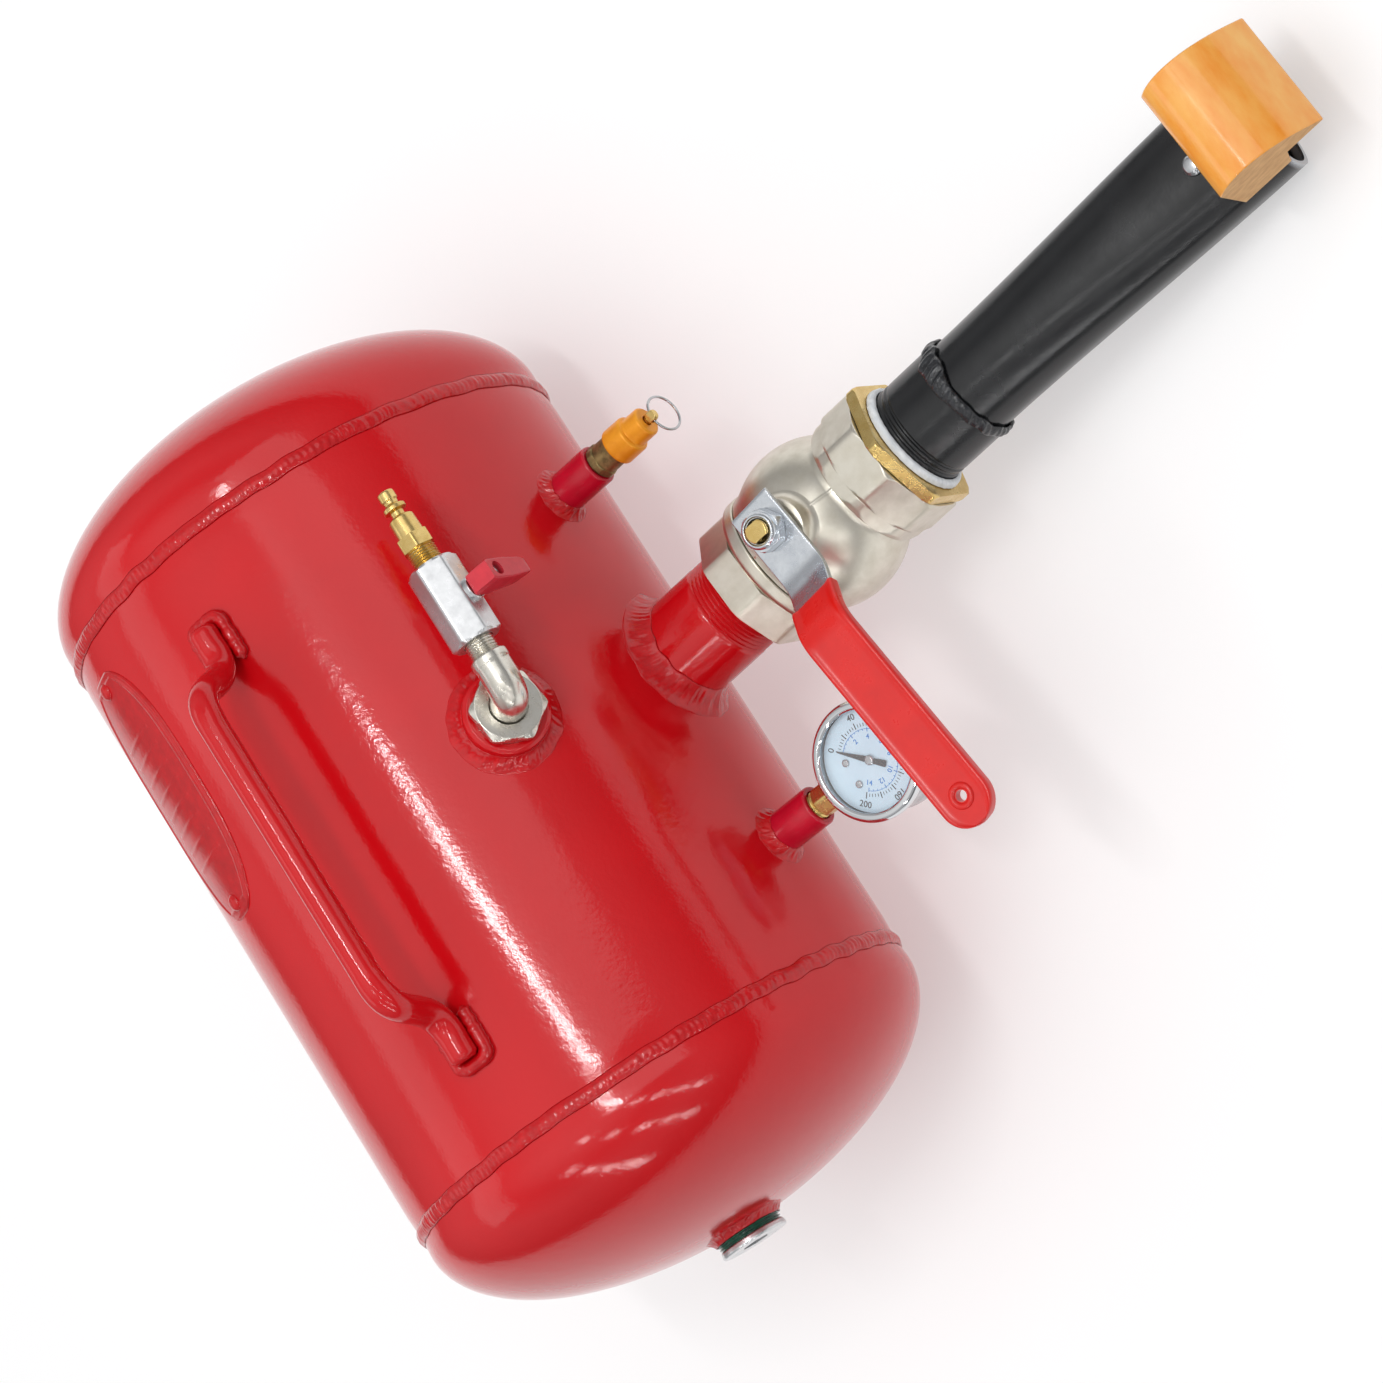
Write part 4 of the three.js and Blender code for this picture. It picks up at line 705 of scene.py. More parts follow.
def drilled(obj, at, radius, low, high):
    """Cuts a round hole along the place's third axis with a Boolean and keeps the result as the mesh."""
    rod = lathe([(0, low), (radius, low), (radius, high), (0, high)], 48, closed=False)
    mesh = bpy.data.meshes.new("drill")
    mesh.from_pydata(put(at, rod[0]), [], rod[1])
    bm = bmesh.new()
    bm.from_mesh(mesh)
    bmesh.ops.remove_doubles(bm, verts=bm.verts, dist=1e-7)
    bmesh.ops.recalc_face_normals(bm, faces=bm.faces)
    bm.to_mesh(mesh)
    bm.free()
    drill = bpy.data.objects.new("drill", mesh)
    bpy.context.scene.collection.objects.link(drill)
    mod = obj.modifiers.new("hole", "BOOLEAN")
    mod.object, mod.operation, mod.solver = drill, "DIFFERENCE", "EXACT"
    bpy.context.view_layer.update()
    cut = bpy.data.meshes.new_from_object(obj.evaluated_get(bpy.context.evaluated_depsgraph_get()))
    obj.modifiers.clear()
    obj.data = cut
    cut.polygons.foreach_set("use_smooth", [True] * len(cut.polygons))
    cut.set_sharp_from_angle(angle=math.radians(38))
    bpy.data.objects.remove(drill)
    return obj


bar = piece("lever_bar", [strip(-14, REACH - 2, WIDE, 3.0, 0.7)], LEVER, "main_valve_lever", ZINC,
            ["main_lever"])
sleeve = piece("vinyl_sleeve", [strip(37.5, REACH, WIDE + 3, 6.0, 1.9, dish=0.8)], LEVER, "main_valve_lever",
               VINYL, ["lever_sleeve"], 60)
HANG = LEVER @ local((REACH - 14, 0, 0))
drilled(bar, HANG, 2.6, 60, 90)
drilled(sleeve, HANG, 2.5, 60, 90)
lip = turned([(2.7, mid + 22.6), (6.2, mid + 22.6), (5.4, mid + 23.9), (4.2, mid + 24.3),
              (3.1, mid + 23.6)], 0.7, 64)
piece("hang_hole_lip", [lip], HANG, "main_valve_lever", VINYL)

# %% Stem and nut
def stem_flats(t, z):
    """The end of the stem is planed to 7.6 mm across two flats."""
    return np.where(z > HEIGHT - 0.3, 3.8 / np.maximum(np.abs(np.sin(t)), 1e-3), 99.0)


stem = turned([(0, 27), (7, 27), (7, 48.2), (5.2, 48.2), (5.2, 62.1), (4.8, 62.5), (0, 62.5)], 0.3, 128,
              stem_flats, solid=True)
piece("valve_stem", [stem], STEM, "main_valve_lever", BRASS, ["main_stem"], 30)
low = HEIGHT + 3.3
nut = turned([(5.5, low), (8.9, low), (9.8, low + 0.9), (9.8, low + 5.6), (8.9, low + 6.5),
              (5.5, low + 6.5)], 0.2, 192, flats(17, 6, 30))
collar = turned([(5.5, low + 6), (8.0, low + 6), (8.0, low + 8.4), (7.0, low + 9.5), (6.2, low + 9.5),
                 (5.9, low + 8.6), (5.5, low + 8.6)], 0.5)
piece("lever_lock_nut", [nut, collar], STEM, "main_valve_lever", ZINC, ["lever_nut"], 40)

# %% [markdown]
# ## Bush, tape and black collar
# A brass hexagon bush screws into the valve's outlet, and the black pipe screws into the bush over a few
# turns of white tape. The pipe ends at a hand-made weld that joins it to the nozzle.

# %% Outlet fittings
bush = soften([(24.3, 128), (27.6, 128), (27.6, 143.3), (33.2, 143.3), (34.4, 144.4), (34.4, 147.8),
               (33.2, 148.8), (24.3, 148.8)], 0.35)


def bush_limit(t, z):
    """Only the head of the bush is a hexagon; its shank is round."""
    return np.where(z > 143.2, flats(60, 6, 30)(t, z), 99.0)


piece("brass_bush", [lathe(bush, 240, bush_limit)], OUTLET, "tank", BRASS, ["outlet_bush"], 40)
t = np.linspace(0, 2 * np.pi, 240, endpoint=False)[:, None]
wound = soften([(24.1, 149.0), (27.0, 149.0), (26.6, 151.2), (25.6, 152.1), (24.1, 152.3)], 0.5)
grid = np.stack([wound[None, :, 0] * np.cos(t), wound[None, :, 0] * np.sin(t), wound[None, :, 1] + 0 * t], -1)
grid *= (1 + 0.006 * uneven(t, 5, 9, 12))[..., None] ** np.array([1, 1, 0])
piece("thread_tape", [skin(grid)], OUTLET, "tank", PTFE, ["tape_ring"], 180)
collar_line = soften([(20.1, 131), (22.7, 131), (23.9, 143), (23.9, 153.6), (23.1, 154.1), (23.1, 155.1),
                      (23.9, 155.6), (23.9, 156.8), (23.1, 157.3), (23.1, 158.2), (23.9, 158.7),
                      (23.9, 182.8), (20.1, 182.8)], 0.3)
piece("black_collar", [lathe(collar_line, 128)], OUTLET, "tank", BLACK, ["collar_pipe"], 50)


def butt_bead():
    """A lumpy ring over the joint: height 1.4 mm times a half ellipse, with ridges, lumps and one thick patch
    where the bead was begun again; its middle line wanders by half a millimetre."""
    t = np.linspace(0, 2 * np.pi, 300, endpoint=False)[:, None]
    s = np.linspace(-1, 1, 15)[None, :]
    arch = np.sqrt(np.clip(1 - s ** 2, 0, 1))
    blob = np.exp(-((t - 2.6) / 0.5) ** 2)
    lump = 0.25 * np.sin(40 * t + 2.5 * s) + (0.7 + 0.8 * blob) * uneven(t + 0.06 * s, 91, 7, 20)
    r = 23.5 + arch * (1.35 + 0.5 * lump + 0.5 * blob)
    z = 182.95 + (3.0 + 2.6 * blob) * s + 0.8 * uneven(t, 97, 3, 8) + 0 * r
    r = np.concatenate([r, 0 * t + 22.5], 1)
    z = np.concatenate([z, 0 * t + 182.95], 1)
    return skin(np.stack([r * np.cos(t), r * np.sin(t), z], -1))


piece("black_butt_bead", [butt_bead()], OUTLET, "tank", BLACK_BEAD, ["collar_weld"], 180)

# %% [markdown]
# ## Nozzle
# The nozzle is a round tube pressed flatter and wider towards its mouth. Its section is a superellipse whose
# half width, half height and power drift smoothly along the length. The paint is worn off the mouth's edge,
# so the mesh carries a mark there and the finish turns to bare steel where the mark is.

# %% Nozzle tube
def nozzle_point(f, t, inset):
    """Half width from 22.5 to 26.5 and half height from 22.5 to 16.5 by the smooth step of f; the section's
    power goes from 2 to 2.5. inset moves the wall inwards."""
    flat = f * f * (3 - 2 * f)
    wide, high, power = 22.5 + 4 * flat - inset, 22.5 - 6 * flat - inset, 2 + 0.5 * flat
    c, s = np.cos(t), np.sin(t)
    x, y = high * np.sign(s) * np.abs(s) ** (2 / power), wide * np.sign(c) * np.abs(c) ** (2 / power)
    return np.stack([x, y, 183.1 + 172 * f + 0 * t], -1)


run = np.concatenate([np.linspace(0, 1, 60), [1.0015, 1.0020, 1.0015], np.linspace(1, 0, 40)])
depth = np.concatenate([np.zeros(60), [0.25, 1.0, 1.75], np.full(40, 2.0)])
bare = np.concatenate([np.zeros(59), np.ones(5), np.zeros(39)])
t = np.linspace(0, 2 * np.pi, 192, endpoint=False)[:, None]
grid = nozzle_point(np.minimum(run, 1.0)[None, :] + 0 * t, t + 0 * run[None], depth[None, :])
marks = np.broadcast_to(bare[None], grid.shape[:2]).reshape(-1)
NOZZLE = finish("black_enamel_worn_at_the_mouth", **BLACK_PAINT)
tree = NOZZLE.node_tree
shader = tree.nodes["Principled BSDF"]
mark = node(tree, "ShaderNodeAttribute", attribute_name="mark")
paint = shader.inputs["Base Color"].links[0].from_socket
blend = node(tree, "ShaderNodeMix", {"Factor": (mark, "Fac")}, data_type="RGBA")
tree.links.new(paint, blend.inputs["A"])
blend.inputs["B"].default_value = colour("#b9bcc0")
tree.links.new(blend.outputs["Result"], shader.inputs["Base Color"])
tree.links.new(mark.outputs["Fac"], shader.inputs["Metallic"])
piece("nozzle_tube", [skin(grid)], OUTLET, "tank", NOZZLE, ["barrel"], 50, marks)

# %% [markdown]
# ## Rim pad
# The pad hooks over the wheel's rim while the air blows. It is a short extruded block, lacquered orange on
# its long faces and left bare where it was sawn off. It is an outline with two caps, and a Bevel modifier
# eases its edges.

# %% Pad
STEP, LIP, TALL = 25.5, 50.0, 41.0


def pad_outline():
    """Side view of the pad: foot, notch and a lip, with a smooth crown through the last eight corners."""
    low = np.array([(0, 0), (STEP, 0), (STEP + 5, 0.36 * TALL), (LIP, 0.36 * TALL)])
    top = np.array([(LIP - 0.3, 0.39 * TALL), (LIP - 6, 0.6 * TALL), (LIP - 13, 0.79 * TALL),
                    (LIP - 21, 0.94 * TALL), (LIP - 29, TALL), (LIP - 37, 0.98 * TALL),
                    (LIP - 43, 0.9 * TALL), (LIP - 47.5, 0.78 * TALL)])
    s = np.linspace(0, 7, 43)
    t = np.arange(8)
    fit = [np.polynomial.polynomial.Polynomial.fit(t, top[:, k], 5) for k in (0, 1)]
    return np.vstack([low, np.stack([f(s) for f in fit], -1)])


side_view = pad_outline()
flat = 1 - 23.5 / 172
step_in = flat * flat * (3 - 2 * flat)
pad_foot = 22.5 - 6 * step_in + 0.3
n = len(side_view)
row = np.stack([-(pad_foot + side_view[:, 1]), 0 * side_view[:, 0], 331.6 + side_view[:, 0]], -1)
ends = np.stack([row + [0, -26.5, 0], row + [0, 26.5, 0]])
verts = ends.reshape(-1, 3)
wall = [[i, (i + 1) % n, n + (i + 1) % n, n + i] for i in range(n)]
sawn = [list(range(n)), list(range(2 * n - 1, n - 1, -1))]
pad = piece("rim_hook_pad", [(verts, wall, 0), (verts, sawn, 1)], OUTLET, "tank", [LACQUER, END_GRAIN],
            ["rim_pad"], 32)
bevel = pad.modifiers.new("eased_edges", "BEVEL")
bevel.width, bevel.segments, bevel.limit_method, bevel.angle_limit = 0.0006, 3, "ANGLE", math.radians(40)
UPWARD = local(x=(0, 0, 1), y=(0, 1, 0), z=(-1, 0, 0))
screw = turned([(0, pad_foot - 6), (2.5, pad_foot - 6), (2.5, pad_foot + 0.2), (4.7, pad_foot + 0.2),
                (4.5, pad_foot + 1.4), (3.0, pad_foot + 3.0), (0, pad_foot + 3.5)], 0.5, 48, solid=True)
piece("pad_rear_screw", [screw], OUTLET @ local((0, 0, 324.1)) @ UPWARD, "tank", STEEL, ["pad_screw"])

# %% [markdown]
# ## Couplings, relief valve and its ring
# The relief valve and the gauge screw into two quarter-inch couplings. The relief valve is a turned brass
# body under an amber cap. Its stem ends in a flat lug, and a split ring hangs from the lug: pulling it lets
# the air out. The ring is a circle of wire carried round a circle.

# %% Couplings
for name, at in (("safety", SAFETY), ("gauge", GAUGE)):
    boss = turned([(6.8, -5), (9.5, -5), (9.5, 24.2), (8.9, 25), (7.2, 25), (6.8, 24.4)], 0.35)
    piece(name + "_coupling", [boss], at, "tank", CRIMSON, [name + "_boss"])

# %% Relief valve
base = 25.0
body = np.vstack([soften([(3, base - 13), (6.5, base - 13), (6.5, base + 0.4), (7.2, base + 0.4)], 0.3),
                  soften([(7.4, base + 1.5), (7.4, base + 19), (5.4, base + 19), (5.4, base + 4),
                          (3, base + 4)], 0.3)])
hexed = turned([(5, base + 0.5), (7.9, base + 0.5), (8.1, base + 1), (8.1, base + 3.4), (7.6, base + 4),
                (5, base + 4)], 0.2, 144, flats(15.2, 6))
piece("relief_body", [lathe(body, 96), hexed], SAFETY, "tank", DARK_BRASS, ["safety_body"])
cap = turned([(7.7, base + 12), (8.6, base + 12), (8.9, base + 12.8), (8.8, base + 22.6),
              (8.0, base + 23.4), (7.1, base + 23.6), (7.0, base + 31.8), (6.2, base + 32.5),
              (2.4, base + 32.5), (2.4, base + 29), (5.4, base + 29), (5.4, base + 19.3),
              (7.7, base + 19.3)], 0.5, 128)
piece("relief_cap", [cap], SAFETY, "tank", AMBER, ["safety_cap"])
EYE = base + 35.5


def lug_limit(t, z):
    """Above the cap the stem is planed to a 3 mm lug."""
    return np.where(z > EYE - 1.9, 1.5 / np.maximum(np.abs(np.cos(t)), 1e-3), 99.0)


stem = turned([(0, base + 4.3), (4.8, base + 4.3), (4.8, base + 6.5), (1.8, base + 7), (1.8, EYE - 2),
               (2.6, EYE - 1.7), (2.6, EYE + 1.2), (1.9, EYE + 2.4), (0, EYE + 2.6)],
              limit=lug_limit, solid=True)
relief = piece("relief_stem", [stem], SAFETY, "relief_stem", BRASS, ["safety_stem"])
drilled(relief, SAFETY @ local((0, 0, EYE), x=(1, 0, 0), y=(0, 0, -1), z=(0, 1, 0)), 1.1, -5, 5)


def ring(radius, wire, centre, around=120, sides=16):
    """A torus: a small circle carried round a big one."""
    a = np.linspace(0, 2 * np.pi, around, endpoint=False)[:, None]
    b = np.linspace(0, 2 * np.pi, sides, endpoint=False)[None, :]
    r = radius + wire * np.cos(b)
    return skin(np.stack([r * np.cos(a) + centre, r * np.sin(a), wire * np.sin(b) + 0 * a], -1))


EYE_AT = np.array(JOINT["pull_ring_swing"]["pos_m"])
HANGING = place(EYE_AT, (0, 0, -1), (0, 1, 0), (1, 0, 0))
piece("pull_ring", [ring(8.5, 0.6, 8.4)], HANGING, "relief_pull_ring", STEEL,
      ["safety_ring"], 180)

# %% [markdown]
# ## Pressure gauge
# The gauge is a tinned can with a chromed rim, a clear window and a printed card. The card's outer scale is
# black and its inner scale is blue, and only numbers are printed. Ticks are thin blocks on a circle, and the
# numbers are Blender text turned into mesh. The pointer rides on its own body, so it can sweep the dial.

# %% Case, rim and window
can = turned([(0, -15), (23.5, -15), (24.5, -14), (24.5, 9), (23.3, 9), (23.3, -13.6), (0, -13.6)], 0.6,
             128, solid=True)
piece("gauge_can", [can], DIAL, "tank", STEEL, ["gauge_case"])
rim = turned([(24.8, 6.1), (26.2, 6.3), (26.8, 8.5), (26.6, 10.4), (25.4, 12.1), (23.2, 12.3), (22.2, 11.4),
              (22.2, 10.7), (24.8, 10.7)], 0.7, 160)
piece("gauge_rim", [rim], DIAL, "tank", CHROME, ["gauge_bezel"], 60)
pane = turned([(0, 9.5), (24.2, 9.5), (24.2, 10.3), (0, 10.3)], 0.1, solid=True)
piece("gauge_window", [pane], DIAL, "tank", LENS, ["gauge_lens"])

# %% Card, ticks and numbers
def sweep_angle(share):
    """Dial angle in radians for a share of the scale: 225 degrees at nought, then 270 degrees clockwise."""
    return np.radians(225 - 270 * np.asarray(share, float))


def ticks(shares, inner, outer, width, z=6.86, thick=0.08):
    """Thin blocks from the inner to the outer radius, each turned to its angle on the dial."""
    a = sweep_angle(shares)[:, None]
    r = np.array([inner, outer, outer, inner])[None]
    w = np.array([-width, -width, width, width])[None] / 2
    x, y = r * np.cos(a) - w * np.sin(a), r * np.sin(a) + w * np.cos(a)
    low = np.stack([x, y, 0 * x + z], -1)
    both = np.concatenate([low, low + [0, 0, thick]], 1)
    side = [[0, 1, 2, 3], [7, 6, 5, 4], [0, 4, 5, 1], [1, 5, 6, 2], [2, 6, 7, 3], [3, 7, 4, 0]]
    faces = [[8 * i + k for k in f] for i in range(len(a)) for f in side]
    return both.reshape(-1, 3), faces


def arc_line(a0, a1, r, width, z=6.86, thick=0.08):
    """A thin printed arc between two shares of the scale."""
    a = sweep_angle(np.linspace(a0, a1, 120))[:, None]
    rr = np.array([r, r + width, r + width, r])[None]
    zz = np.array([z, z, z + thick, z + thick])[None]
    return skin(np.stack([rr * np.cos(a), rr * np.sin(a), zz + 0 * a], -1), False, True, caps=True)


def numbers(values, shares, r, size):
    """Each number is a text curve, made a mesh, turned to face along the dial's radius and set in its place.
    In the lower half the number stands the other way up, so that it is still easy to read."""
    shells = []
    for value, share in zip(values, shares):
        text = bpy.data.curves.new("number", "FONT")
        text.body, text.size, text.align_x, text.align_y = str(value), size, "CENTER", "CENTER"
        text.extrude, text.offset, text.resolution_u = 0.05, 0.025, 4
        obj = bpy.data.objects.new("number", text)
        bpy.context.scene.collection.objects.link(obj)
        bpy.context.view_layer.update()
        mesh = bpy.data.meshes.new_from_object(obj.evaluated_get(bpy.context.evaluated_depsgraph_get()))
        co = np.empty(len(mesh.vertices) * 3)
        mesh.vertices.foreach_get("co", co)
        a = float(sweep_angle(share))
        turned = math.degrees(a) + (-90 if math.sin(a) > -0.2 else 90)
        co = put(turn_z(turned), co.reshape(-1, 3)) + [r * math.cos(a), r * math.sin(a), 6.92]
        shells.append((co, [list(p.vertices) for p in mesh.polygons]))
        bpy.data.objects.remove(obj)
    return shells


card = turned([(0, 6), (22.9, 6), (22.9, 6.8), (0, 6.8)], 0.1, solid=True)
card_screw = turned([(0, 6.2), (1.8, 6.2), (1.8, 7.4), (1.3, 7.9), (0, 8)], 0.3, 32, solid=True)
screws = [(card_screw[0] + [x, -11, 0], card_screw[1], 1) for x in (-5.4, 5.4)]
piece("gauge_card", [card, *screws], DIAL, "tank", [CARD, STEEL], ["gauge_dial"])
black = [ticks(np.arange(51) / 50, 14.6, 16.0, 0.26), ticks(np.arange(11) / 10, 14.2, 17.0, 0.42),
         *numbers(range(0, 201, 40), np.arange(6) / 5, 19.6, 4.0)]
piece("black_scale", black, DIAL, "tank", INK_BLACK, crease=30)
FULL_BLUE = 0.986          # the blue scale's last mark, as a share of the black scale
blue = [arc_line(0, FULL_BLUE, 13.3, 0.22), ticks(np.arange(29) / 28 * FULL_BLUE, 12.7, 13.6, 0.24),
        ticks(np.arange(8) / 7 * FULL_BLUE, 12.1, 13.9, 0.36),
        *numbers(range(0, 15, 2), np.arange(8) / 7 * FULL_BLUE, 10.0, 3.2)]
piece("blue_scale", blue, DIAL, "tank", INK_BLUE, crease=30)


def pointer():
    """A blade 16 mm long that tapers to a point and has a short tail, turned to nought, with a round hub."""
    edge = np.array([(-8, -1.3), (-7.4, -1.5), (-2, -1.2), (0, -1.5), (16, -0.25),
                     (16, 0.25), (0, 1.5), (-2, 1.2), (-7.4, 1.5), (-8, 1.3)])
    c, s = math.cos(math.radians(-135)), math.sin(math.radians(-135))
    xy = edge @ np.array([[c, s], [-s, c]])
    n = len(xy)
    points = np.vstack([np.column_stack([xy, np.full(n, 7.3)]), np.column_stack([xy, np.full(n, 7.8)])])
    faces = [list(range(n))[::-1], list(range(n, 2 * n))]
    faces += [[i, (i + 1) % n, n + (i + 1) % n, n + i] for i in range(n)]
    hub = turned([(0, -3), (0.9, -3), (0.9, 7.2), (2.3, 7.2), (2.3, 8.2), (1.7, 8.7), (0, 8.7)], 0.25, 40,
                 solid=True)
    return [(points, faces, 0), (*hub, 1)]


piece("gauge_hand", pointer(), DIAL, "pressure_pointer", [POINTER, STEEL], ["gauge_pointer"])
reach = 37.5
neck = np.vstack([[(0, -reach - 12), (6.4, -reach - 12)], thread(6.5, -reach - 11, -reach + 1.4, 1.5, 0.6),
                  [(5.6, -reach + 2), (5.6, -19), (0, -19)]])
hexed = turned([(4, -reach + 1.8), (6.9, -reach + 1.8), (7.2, -reach + 2.2), (7.2, -27.7), (6.9, -27.2),
                (4, -27.2)], 0.2, 96, flats(13, 6))
ALONG_Y = local(x=(1, 0, 0), y=(0, 0, -1), z=(0, 1, 0))
piece("gauge_stem", [lathe(neck, 96, closed=False), hexed], DIAL @ ALONG_Y, "tank", BRASS, ["gauge_socket"])

# %% [markdown]
# ## Charging inlet
# Air goes in through a boss, a reducing bush, an elbow and a small ball valve with a red wing, and the hose
# couples to the brass plug at the end. The elbow is a circle carried round a bend and swollen at its rims.

# %% Boss, bush and elbow
boss = turned([(13.8, -5), (19, -5), (19, 9.4), (17.4, 11), (13.8, 11)], 0.6, 128)
piece("inlet_boss_ring", [boss], INLET, "tank", RED, ["inlet_boss"])
shank = turned([(5, 0), (13.4, 0), (13.4, 11.4), (15, 11.4), (15, 13.8), (5, 13.8)])
hexed = turned([(8.5, 13.6), (16.6, 13.6), (17.1, 14.2), (17.1, 16.6), (14.4, 18), (8.5, 18)], 0.2, 240,
               flats(30, 6, 8))
piece("reducing_bush", [shank, hexed], INLET, "tank", NICKEL_BRIGHT, ["reducer_bush"],
      40)


def elbow():
    """A 16 mm circle round a bend; its radius grows by 0.5 mm in a band near the upper end."""
    path = bent([(0, 0, 5.5), (0, 0, 33), (0, 19.4, 33)], 10, 0.5)
    run = np.concatenate([[0], np.cumsum(np.linalg.norm(np.diff(path, axis=0), axis=1))])
    left = run[-1] - run
    r = 8.0 + 0.45 / (1 + np.exp((left - 4.2) / 0.25)) - 0.7 * np.clip(1 - left / 0.7, 0, 1) ** 2
    return tube(path, (1, 0, 0), r[:, None, None] * circle(1.0, 64)[None])


end = np.vstack([[(0, 18)], [(6.6, 18)], thread(6.7, 18.6, 26.9, 1.38, 0.7), [(5.6, 35), (0, 35)]])
threaded = lathe(end, 96, closed=False)
INLET_Y = local((0, 0, 33), x=(1, 0, 0), y=(0, 0, -1), z=(0, 1, 0))
piece("street_elbow", [elbow(), (put(INLET_Y, threaded[0]), threaded[1])], INLET, "tank", NICKEL_BRIGHT,
      ["inlet_elbow"], 50)

# %% Small valve
MINI_Y = MINI @ ALONG_Y
body = turned([(6.9, 0.1), (10.2, 0.1), (12.1, 1.6), (12.1, 37.4), (10.2, 38.9), (8.0, 38.9), (8.0, 20),
               (6.9, 20)], 0.3, 240, flats(21, 6, 30))
gland = turned([(3.4, 9), (5.6, 9), (5.6, 12.6), (5.1, 13), (3.4, 13)], 0.3, 64)
to_mini = np.linalg.inv(MINI_Y) @ MINI @ local((0, 19.5, 0))
piece("small_valve_body", [body, (put(to_mini, gland[0]), gland[1])], MINI_Y, "tank", PALE_HEX,
      ["mini_valve_body"], 40)
insert = turned([(6.9, 38.7), (7.7, 38.7), (7.7, 27), (6.9, 27)], 0.2, 80)
piece("small_valve_insert", [insert], MINI_Y, "tank", BRASS, ["mini_valve_retainer"])

WING_AT = MINI @ local((0, 19.5, 0))
shaft = turned([(0, 7.6), (3, 7.6), (3, 13.4), (2.3, 13.4), (2.3, 18), (0, 18)], 0.2, 48, solid=True)
piece("small_valve_stem", [shaft], WING_AT, "inlet_valve_wing", BRASS, ["mini_valve_stem"])


def wing():
    """A thumb wing: for each distance along, a bottom and a top height and a half width, joined as an oblong
    section; it narrows to the stem at the bottom and thins towards the tip."""
    x = np.linspace(-6.5, 24.5, 70)
    low = np.interp(x, [-6.5, -5, 5, 6.5, 19, 24.5], [15.6, 13.5, 13.5, 15.9, 17.9, 22.0])
    top = np.interp(x, [-6.5, 22.5, 24.5], [26.8, 26.8, 26.2])
    half = np.interp(x, [-6.5, -4, 9, 20, 24.5], [4.2, 5.0, 5.0, 4.2, 3.4])
    corner = np.stack([np.stack([-half, low], -1), np.stack([half, low], -1), np.stack([half, top], -1),
                       np.stack([-half, top], -1)], 1)
    rows = np.stack([soften(c, 1.1, 5) for c in corner])
    grid = np.stack([np.broadcast_to(x[:, None], rows.shape[:2]), rows[..., 0], rows[..., 1]], -1)
    return skin(grid, False, True, caps=True)


thumb = piece("thumb_wing", [wing()], WING_AT, "inlet_valve_wing", WING, ["mini_valve_handle"],
              32)
drilled(thumb, WING_AT, 3.3, 22.4, 30)
screw = turned([(0, 20), (2.9, 20), (2.9, 24.0), (2.3, 25.0), (0, 25.3)], 0.5, 48, solid=True)
piece("wing_screw", [screw], WING_AT, "inlet_valve_wing", STEEL, ["mini_valve_screw"])

# %% Air plug
e = 39.0
plug = np.vstack([[(2.6, e - 7), (5.8, e - 7)], thread(6.65, e - 0.6, e + 8.6, 1.38, 0.7),
                  soften([(2.6, e), (5.8, e + 8), (5.8, e + 24), (5.2, e + 24.6), (3, e + 25.2),
                          (3, e + 27.5), (5.2, e + 28.2), (5.2, e + 30), (3.2, e + 31.2), (3.2, e + 32.6),
                          (3.9, e + 33.4), (3.9, e + 36.9), (3.5, e + 37.5), (2.6, e + 37.5)], 0.35)[14:]])
hexed = turned([(4, e + 8.6), (7.7, e + 8.6), (8.05, e + 9.1), (8.05, e + 14.4), (7.7, e + 15),
                (4, e + 15)], 0.2, 240, flats(14, 6))
piece("air_plug_turned", [lathe(plug, 96), hexed], MINI_Y, "tank", BRASS, ["air_plug"], 40)

# %% [markdown]
# ## Drain
# At the bottom of the near head a plug lets water out. Its thread was run in with green sealant, which has
# squeezed out in rings under the plug's flange. The key socket is a real six-sided hole.

# %% Drain plug
collar = turned([(12.2, -7), (16.5, -7), (16.5, 0.9), (15.9, 1.5), (12.2, 1.5)], 0.4)
piece("drain_collar", [collar], DRAIN, "tank", RED, ["drain_boss"])
h = np.linspace(1.7, 5.8, 25)
rings = np.stack([15.2 + 0.55 * np.cos(2 * np.pi * (h - 1.7) / 1.35), h], -1)
rough = lathe(np.vstack([[(12.2, 1.7)], rings, [(12.2, 5.8)]]), 200)
a = np.arctan2(rough[0][:, 1], rough[0][:, 0])
grow = 1 + 0.012 * uneven(a + 0.4 * rough[0][:, 2], 71, 4, 12)
piece("sealant_rings", [(rough[0] * np.stack([grow, grow, np.ones_like(grow)], -1), rough[1])], DRAIN, "tank",
      SEALANT, ["drain_sealant"], 180)


def key_plug():
    """One profile from the middle of the socket's floor up its six walls, over the flange and down: points
    in the socket take the hexagon's radius, the rest are round."""
    line = soften([(0, 2.4), (6.9, 2.4), (7.0, 8.6), (7.6, 9.0), (16.0, 9.0), (16.4, 8.2), (16.1, 6.4),
                   (15.8, 6.0), (11.9, 6.0), (11.9, -8), (0, -8)], 0.25, closed=False)
    inside = np.arange(len(line)) < 24          # the points of the socket and of its rim
    six = flats(12, 6, 30)
    t = np.linspace(0, 2 * np.pi, 192, endpoint=False)[:, None]
    r = np.broadcast_to(line[None, :, 0], (192, len(line))).copy()
    hexr = six(t, 0 * r)
    r[:, inside] = np.minimum(r, hexr)[:, inside]
    z = np.broadcast_to(line[None, :, 1], r.shape)
    return skin(np.stack([r * np.cos(t), r * np.sin(t), z], -1), True, False)


piece("drain_key_plug", [key_plug()], DRAIN, "tank", PALE_HEX, ["drain_plug"], 40)

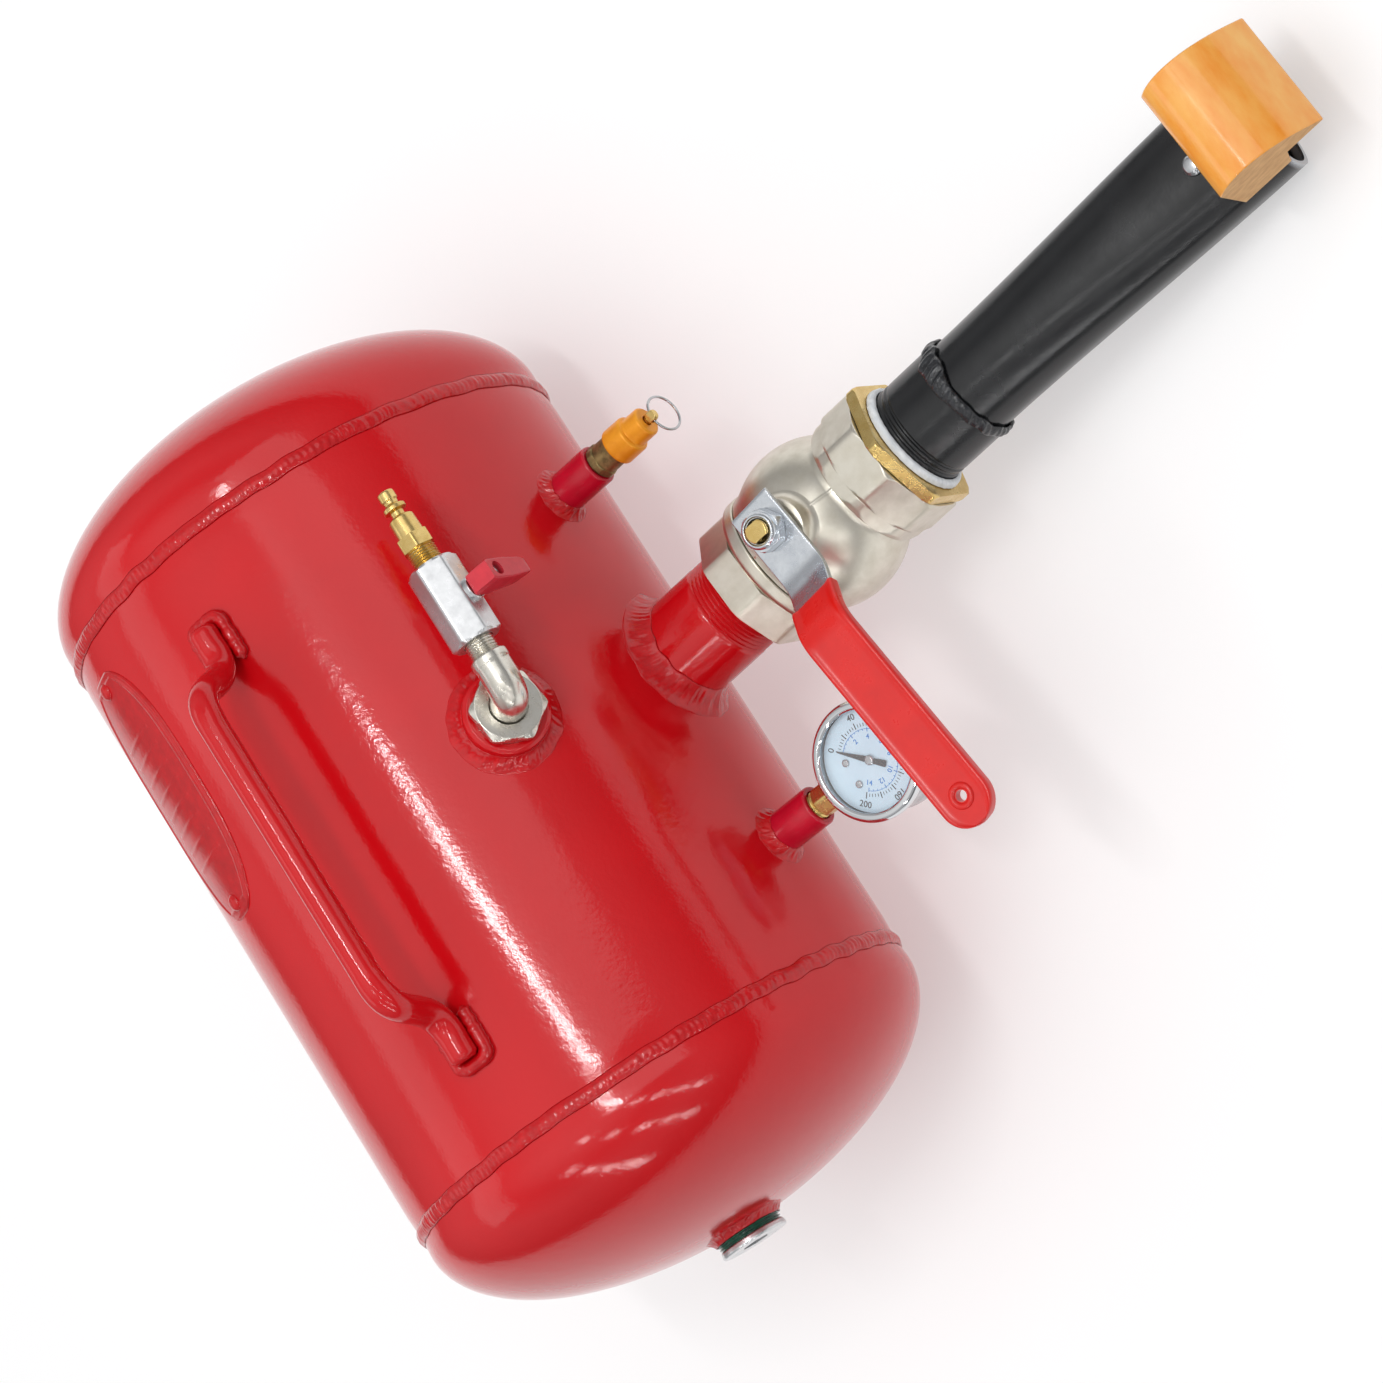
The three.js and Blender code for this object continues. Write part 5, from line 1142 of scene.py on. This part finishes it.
# %% [markdown]
# ## What is inside
# The ball, the seats, the spring and the gauge's works are never seen from outside, but a valve that is
# turned shows a little of them. They stay as the CAD made them and take a plain metal or plastic finish.

# %% Finishes for the hidden nodes
hidden = {"main_ball": CHROME, "mini_valve_ball": CHROME, "main_seat_outlet": PTFE, "main_seat_tank": PTFE,
          "safety_spring": STEEL, "bourdon_tube": BRASS, "gauge_movement": BRASS, "pad_fixing": ZINC}
for name, mat in hidden.items():
    mesh = frame["nodes"][name].data
    mesh.materials.clear()
    mesh.materials.append(mat)

# %% [markdown]
# ## Floor, light and camera
# The tool lies on a plain white floor in a bright room. A long thin tube gives the enamel its streak, two
# big soft boxes light the front and the back, and three rows of small panes give the window that shows in
# the near head. The camera looks down from the outlet side and is turned a long way on its own axis.

# %% Floor and world
def panel(name, centre, aim, wide, tall, power, along=None):
    """A soft box: an area light at a point, facing another point. along is the way that its height runs."""
    lamp = bpy.data.lights.new(name, "AREA")
    lamp.shape, lamp.size, lamp.size_y, lamp.energy = "RECTANGLE", wide, tall, power
    obj = bpy.data.objects.new(name, lamp)
    bpy.context.scene.collection.objects.link(obj)
    back = (Vector(centre) - Vector(aim)).normalized()
    tall_way = Vector((0, 0, 1) if along is None else along)
    tall_way = (tall_way - back * tall_way.dot(back)).normalized() if back.z < 0.99 else Vector((0, 1, 0))
    cross = tall_way.cross(back)
    obj.matrix_world = frame_of(cross, tall_way, back, centre)
    return obj


def frame_of(first, second, third, centre):
    """A Blender matrix from three axes and an origin, all given as columns."""
    return Matrix([[first[i], second[i], third[i], centre[i]] for i in range(3)] + [[0, 0, 0, 1]])


FLOOR_HALF, FLOOR_Z = 6.0, -0.0005
corners = [(a * FLOOR_HALF, b * FLOOR_HALF, FLOOR_Z) for a, b in ((-1, -1), (1, -1), (1, 1), (-1, 1))]
floor_mesh = bpy.data.meshes.new("floor")
floor_mesh.from_pydata(corners, [], [[0, 1, 2, 3]])
floor = bpy.data.objects.new("floor", floor_mesh)
floor_mesh.materials.append(finish("pale_paper_floor", "#c6c6c6", roughness=0.9, Emission_Color=(1, 1, 1, 1),
                                   Emission_Strength=0.42))
bpy.context.scene.collection.objects.link(floor)
world = bpy.data.worlds.new("bright_room")
world.use_nodes = True
sky = world.node_tree
toward = node(sky, "ShaderNodeTexCoord")
height = node(sky, "ShaderNodeSeparateXYZ", {"Vector": (toward, "Generated")})
ramp = node(sky, "ShaderNodeValToRGB", {"Fac": (height, "Z")})
for at, value in ((0.0, 0.17), (0.45, 0.26), (0.75, 0.42), (1.0, 0.55)):
    stop = ramp.color_ramp.elements.new(at) if at not in (0.0, 1.0) else ramp.color_ramp.elements[int(at)]
    stop.color = (value, value, value * 1.02, 1)
sky.links.new(ramp.outputs["Color"], sky.nodes["Background"].inputs["Color"])
bpy.context.scene.world = world
bpy.context.scene.view_settings.view_transform = "Standard"

# %% Lamps
panel("tube", (0.71, 0.19, 2.02), (-0.12, -0.04, 0.23), 0.08, 0.62, 7.5, along=(0.15, -0.355, -0.04))
panel("key_box", (1.75, 0.95, 2.3), (-0.1, 0, 0.18), 1.7, 1.7, 9.0)
panel("back_box", (-1.9, 0.3, 1.9), (-0.15, 0, 0.2), 3.4, 0.8, 6.5)
fill = panel("fill", (0.0, 0.0, 2.6), (0, 0, 0), 2.4, 2.4, 22.0)
fill.visible_glossy = False
window = [((0.40, 0.03, 0.91), (0.65, -0.40, 0.65), (0.69, -0.62, 0.38)),
          ((0.10, -0.25, 0.96), (0.35, -0.79, 0.50), (0.34, -0.90, 0.27)),
          ((-0.18, -0.60, 0.78), (-0.10, -0.90, 0.42), (-0.10, -0.96, 0.26))]
NEAR_HEAD = np.array([-0.12, -0.17, 0.22])
for i, row in enumerate(window):
    first, middle, last = (np.array(way) for way in row)
    for j in range(5):
        u = j / 4
        way = unit((1 - u) ** 2 * first + 2 * u * (1 - u) * middle + u ** 2 * last)
        pane = panel(f"pane_{i}_{j}", NEAR_HEAD + 2.0 * way, NEAR_HEAD, 0.05, 0.24, 0.8, unit(last - first))
        pane.visible_diffuse = False

# %% Camera
EYE_POINT, AIM_POINT, ROLL = Vector((1.1201, -0.3885, 1.5018)), Vector((-0.08396, -0.00707, 0.0824)), 109.429
ahead = (AIM_POINT - EYE_POINT).normalized()
right = ahead.cross(Vector((0, 0, 1))).normalized()
plumb = right.cross(ahead)
r = math.radians(ROLL)
top = plumb * math.cos(r) + right * math.sin(r)
across = ahead.cross(top)
data = bpy.data.cameras.new("camera")
data.lens, data.sensor_width, data.clip_start, data.clip_end = 111.43, 36.0, 0.05, 50
camera = bpy.data.objects.new("camera", data)
bpy.context.scene.collection.objects.link(camera)
camera.matrix_world = frame_of(across, top, -ahead, EYE_POINT)
bpy.context.scene.camera = camera

# %% Measure and finish
print("pieces", len(made), "faces", sum(len(o.data.polygons) for o in made))
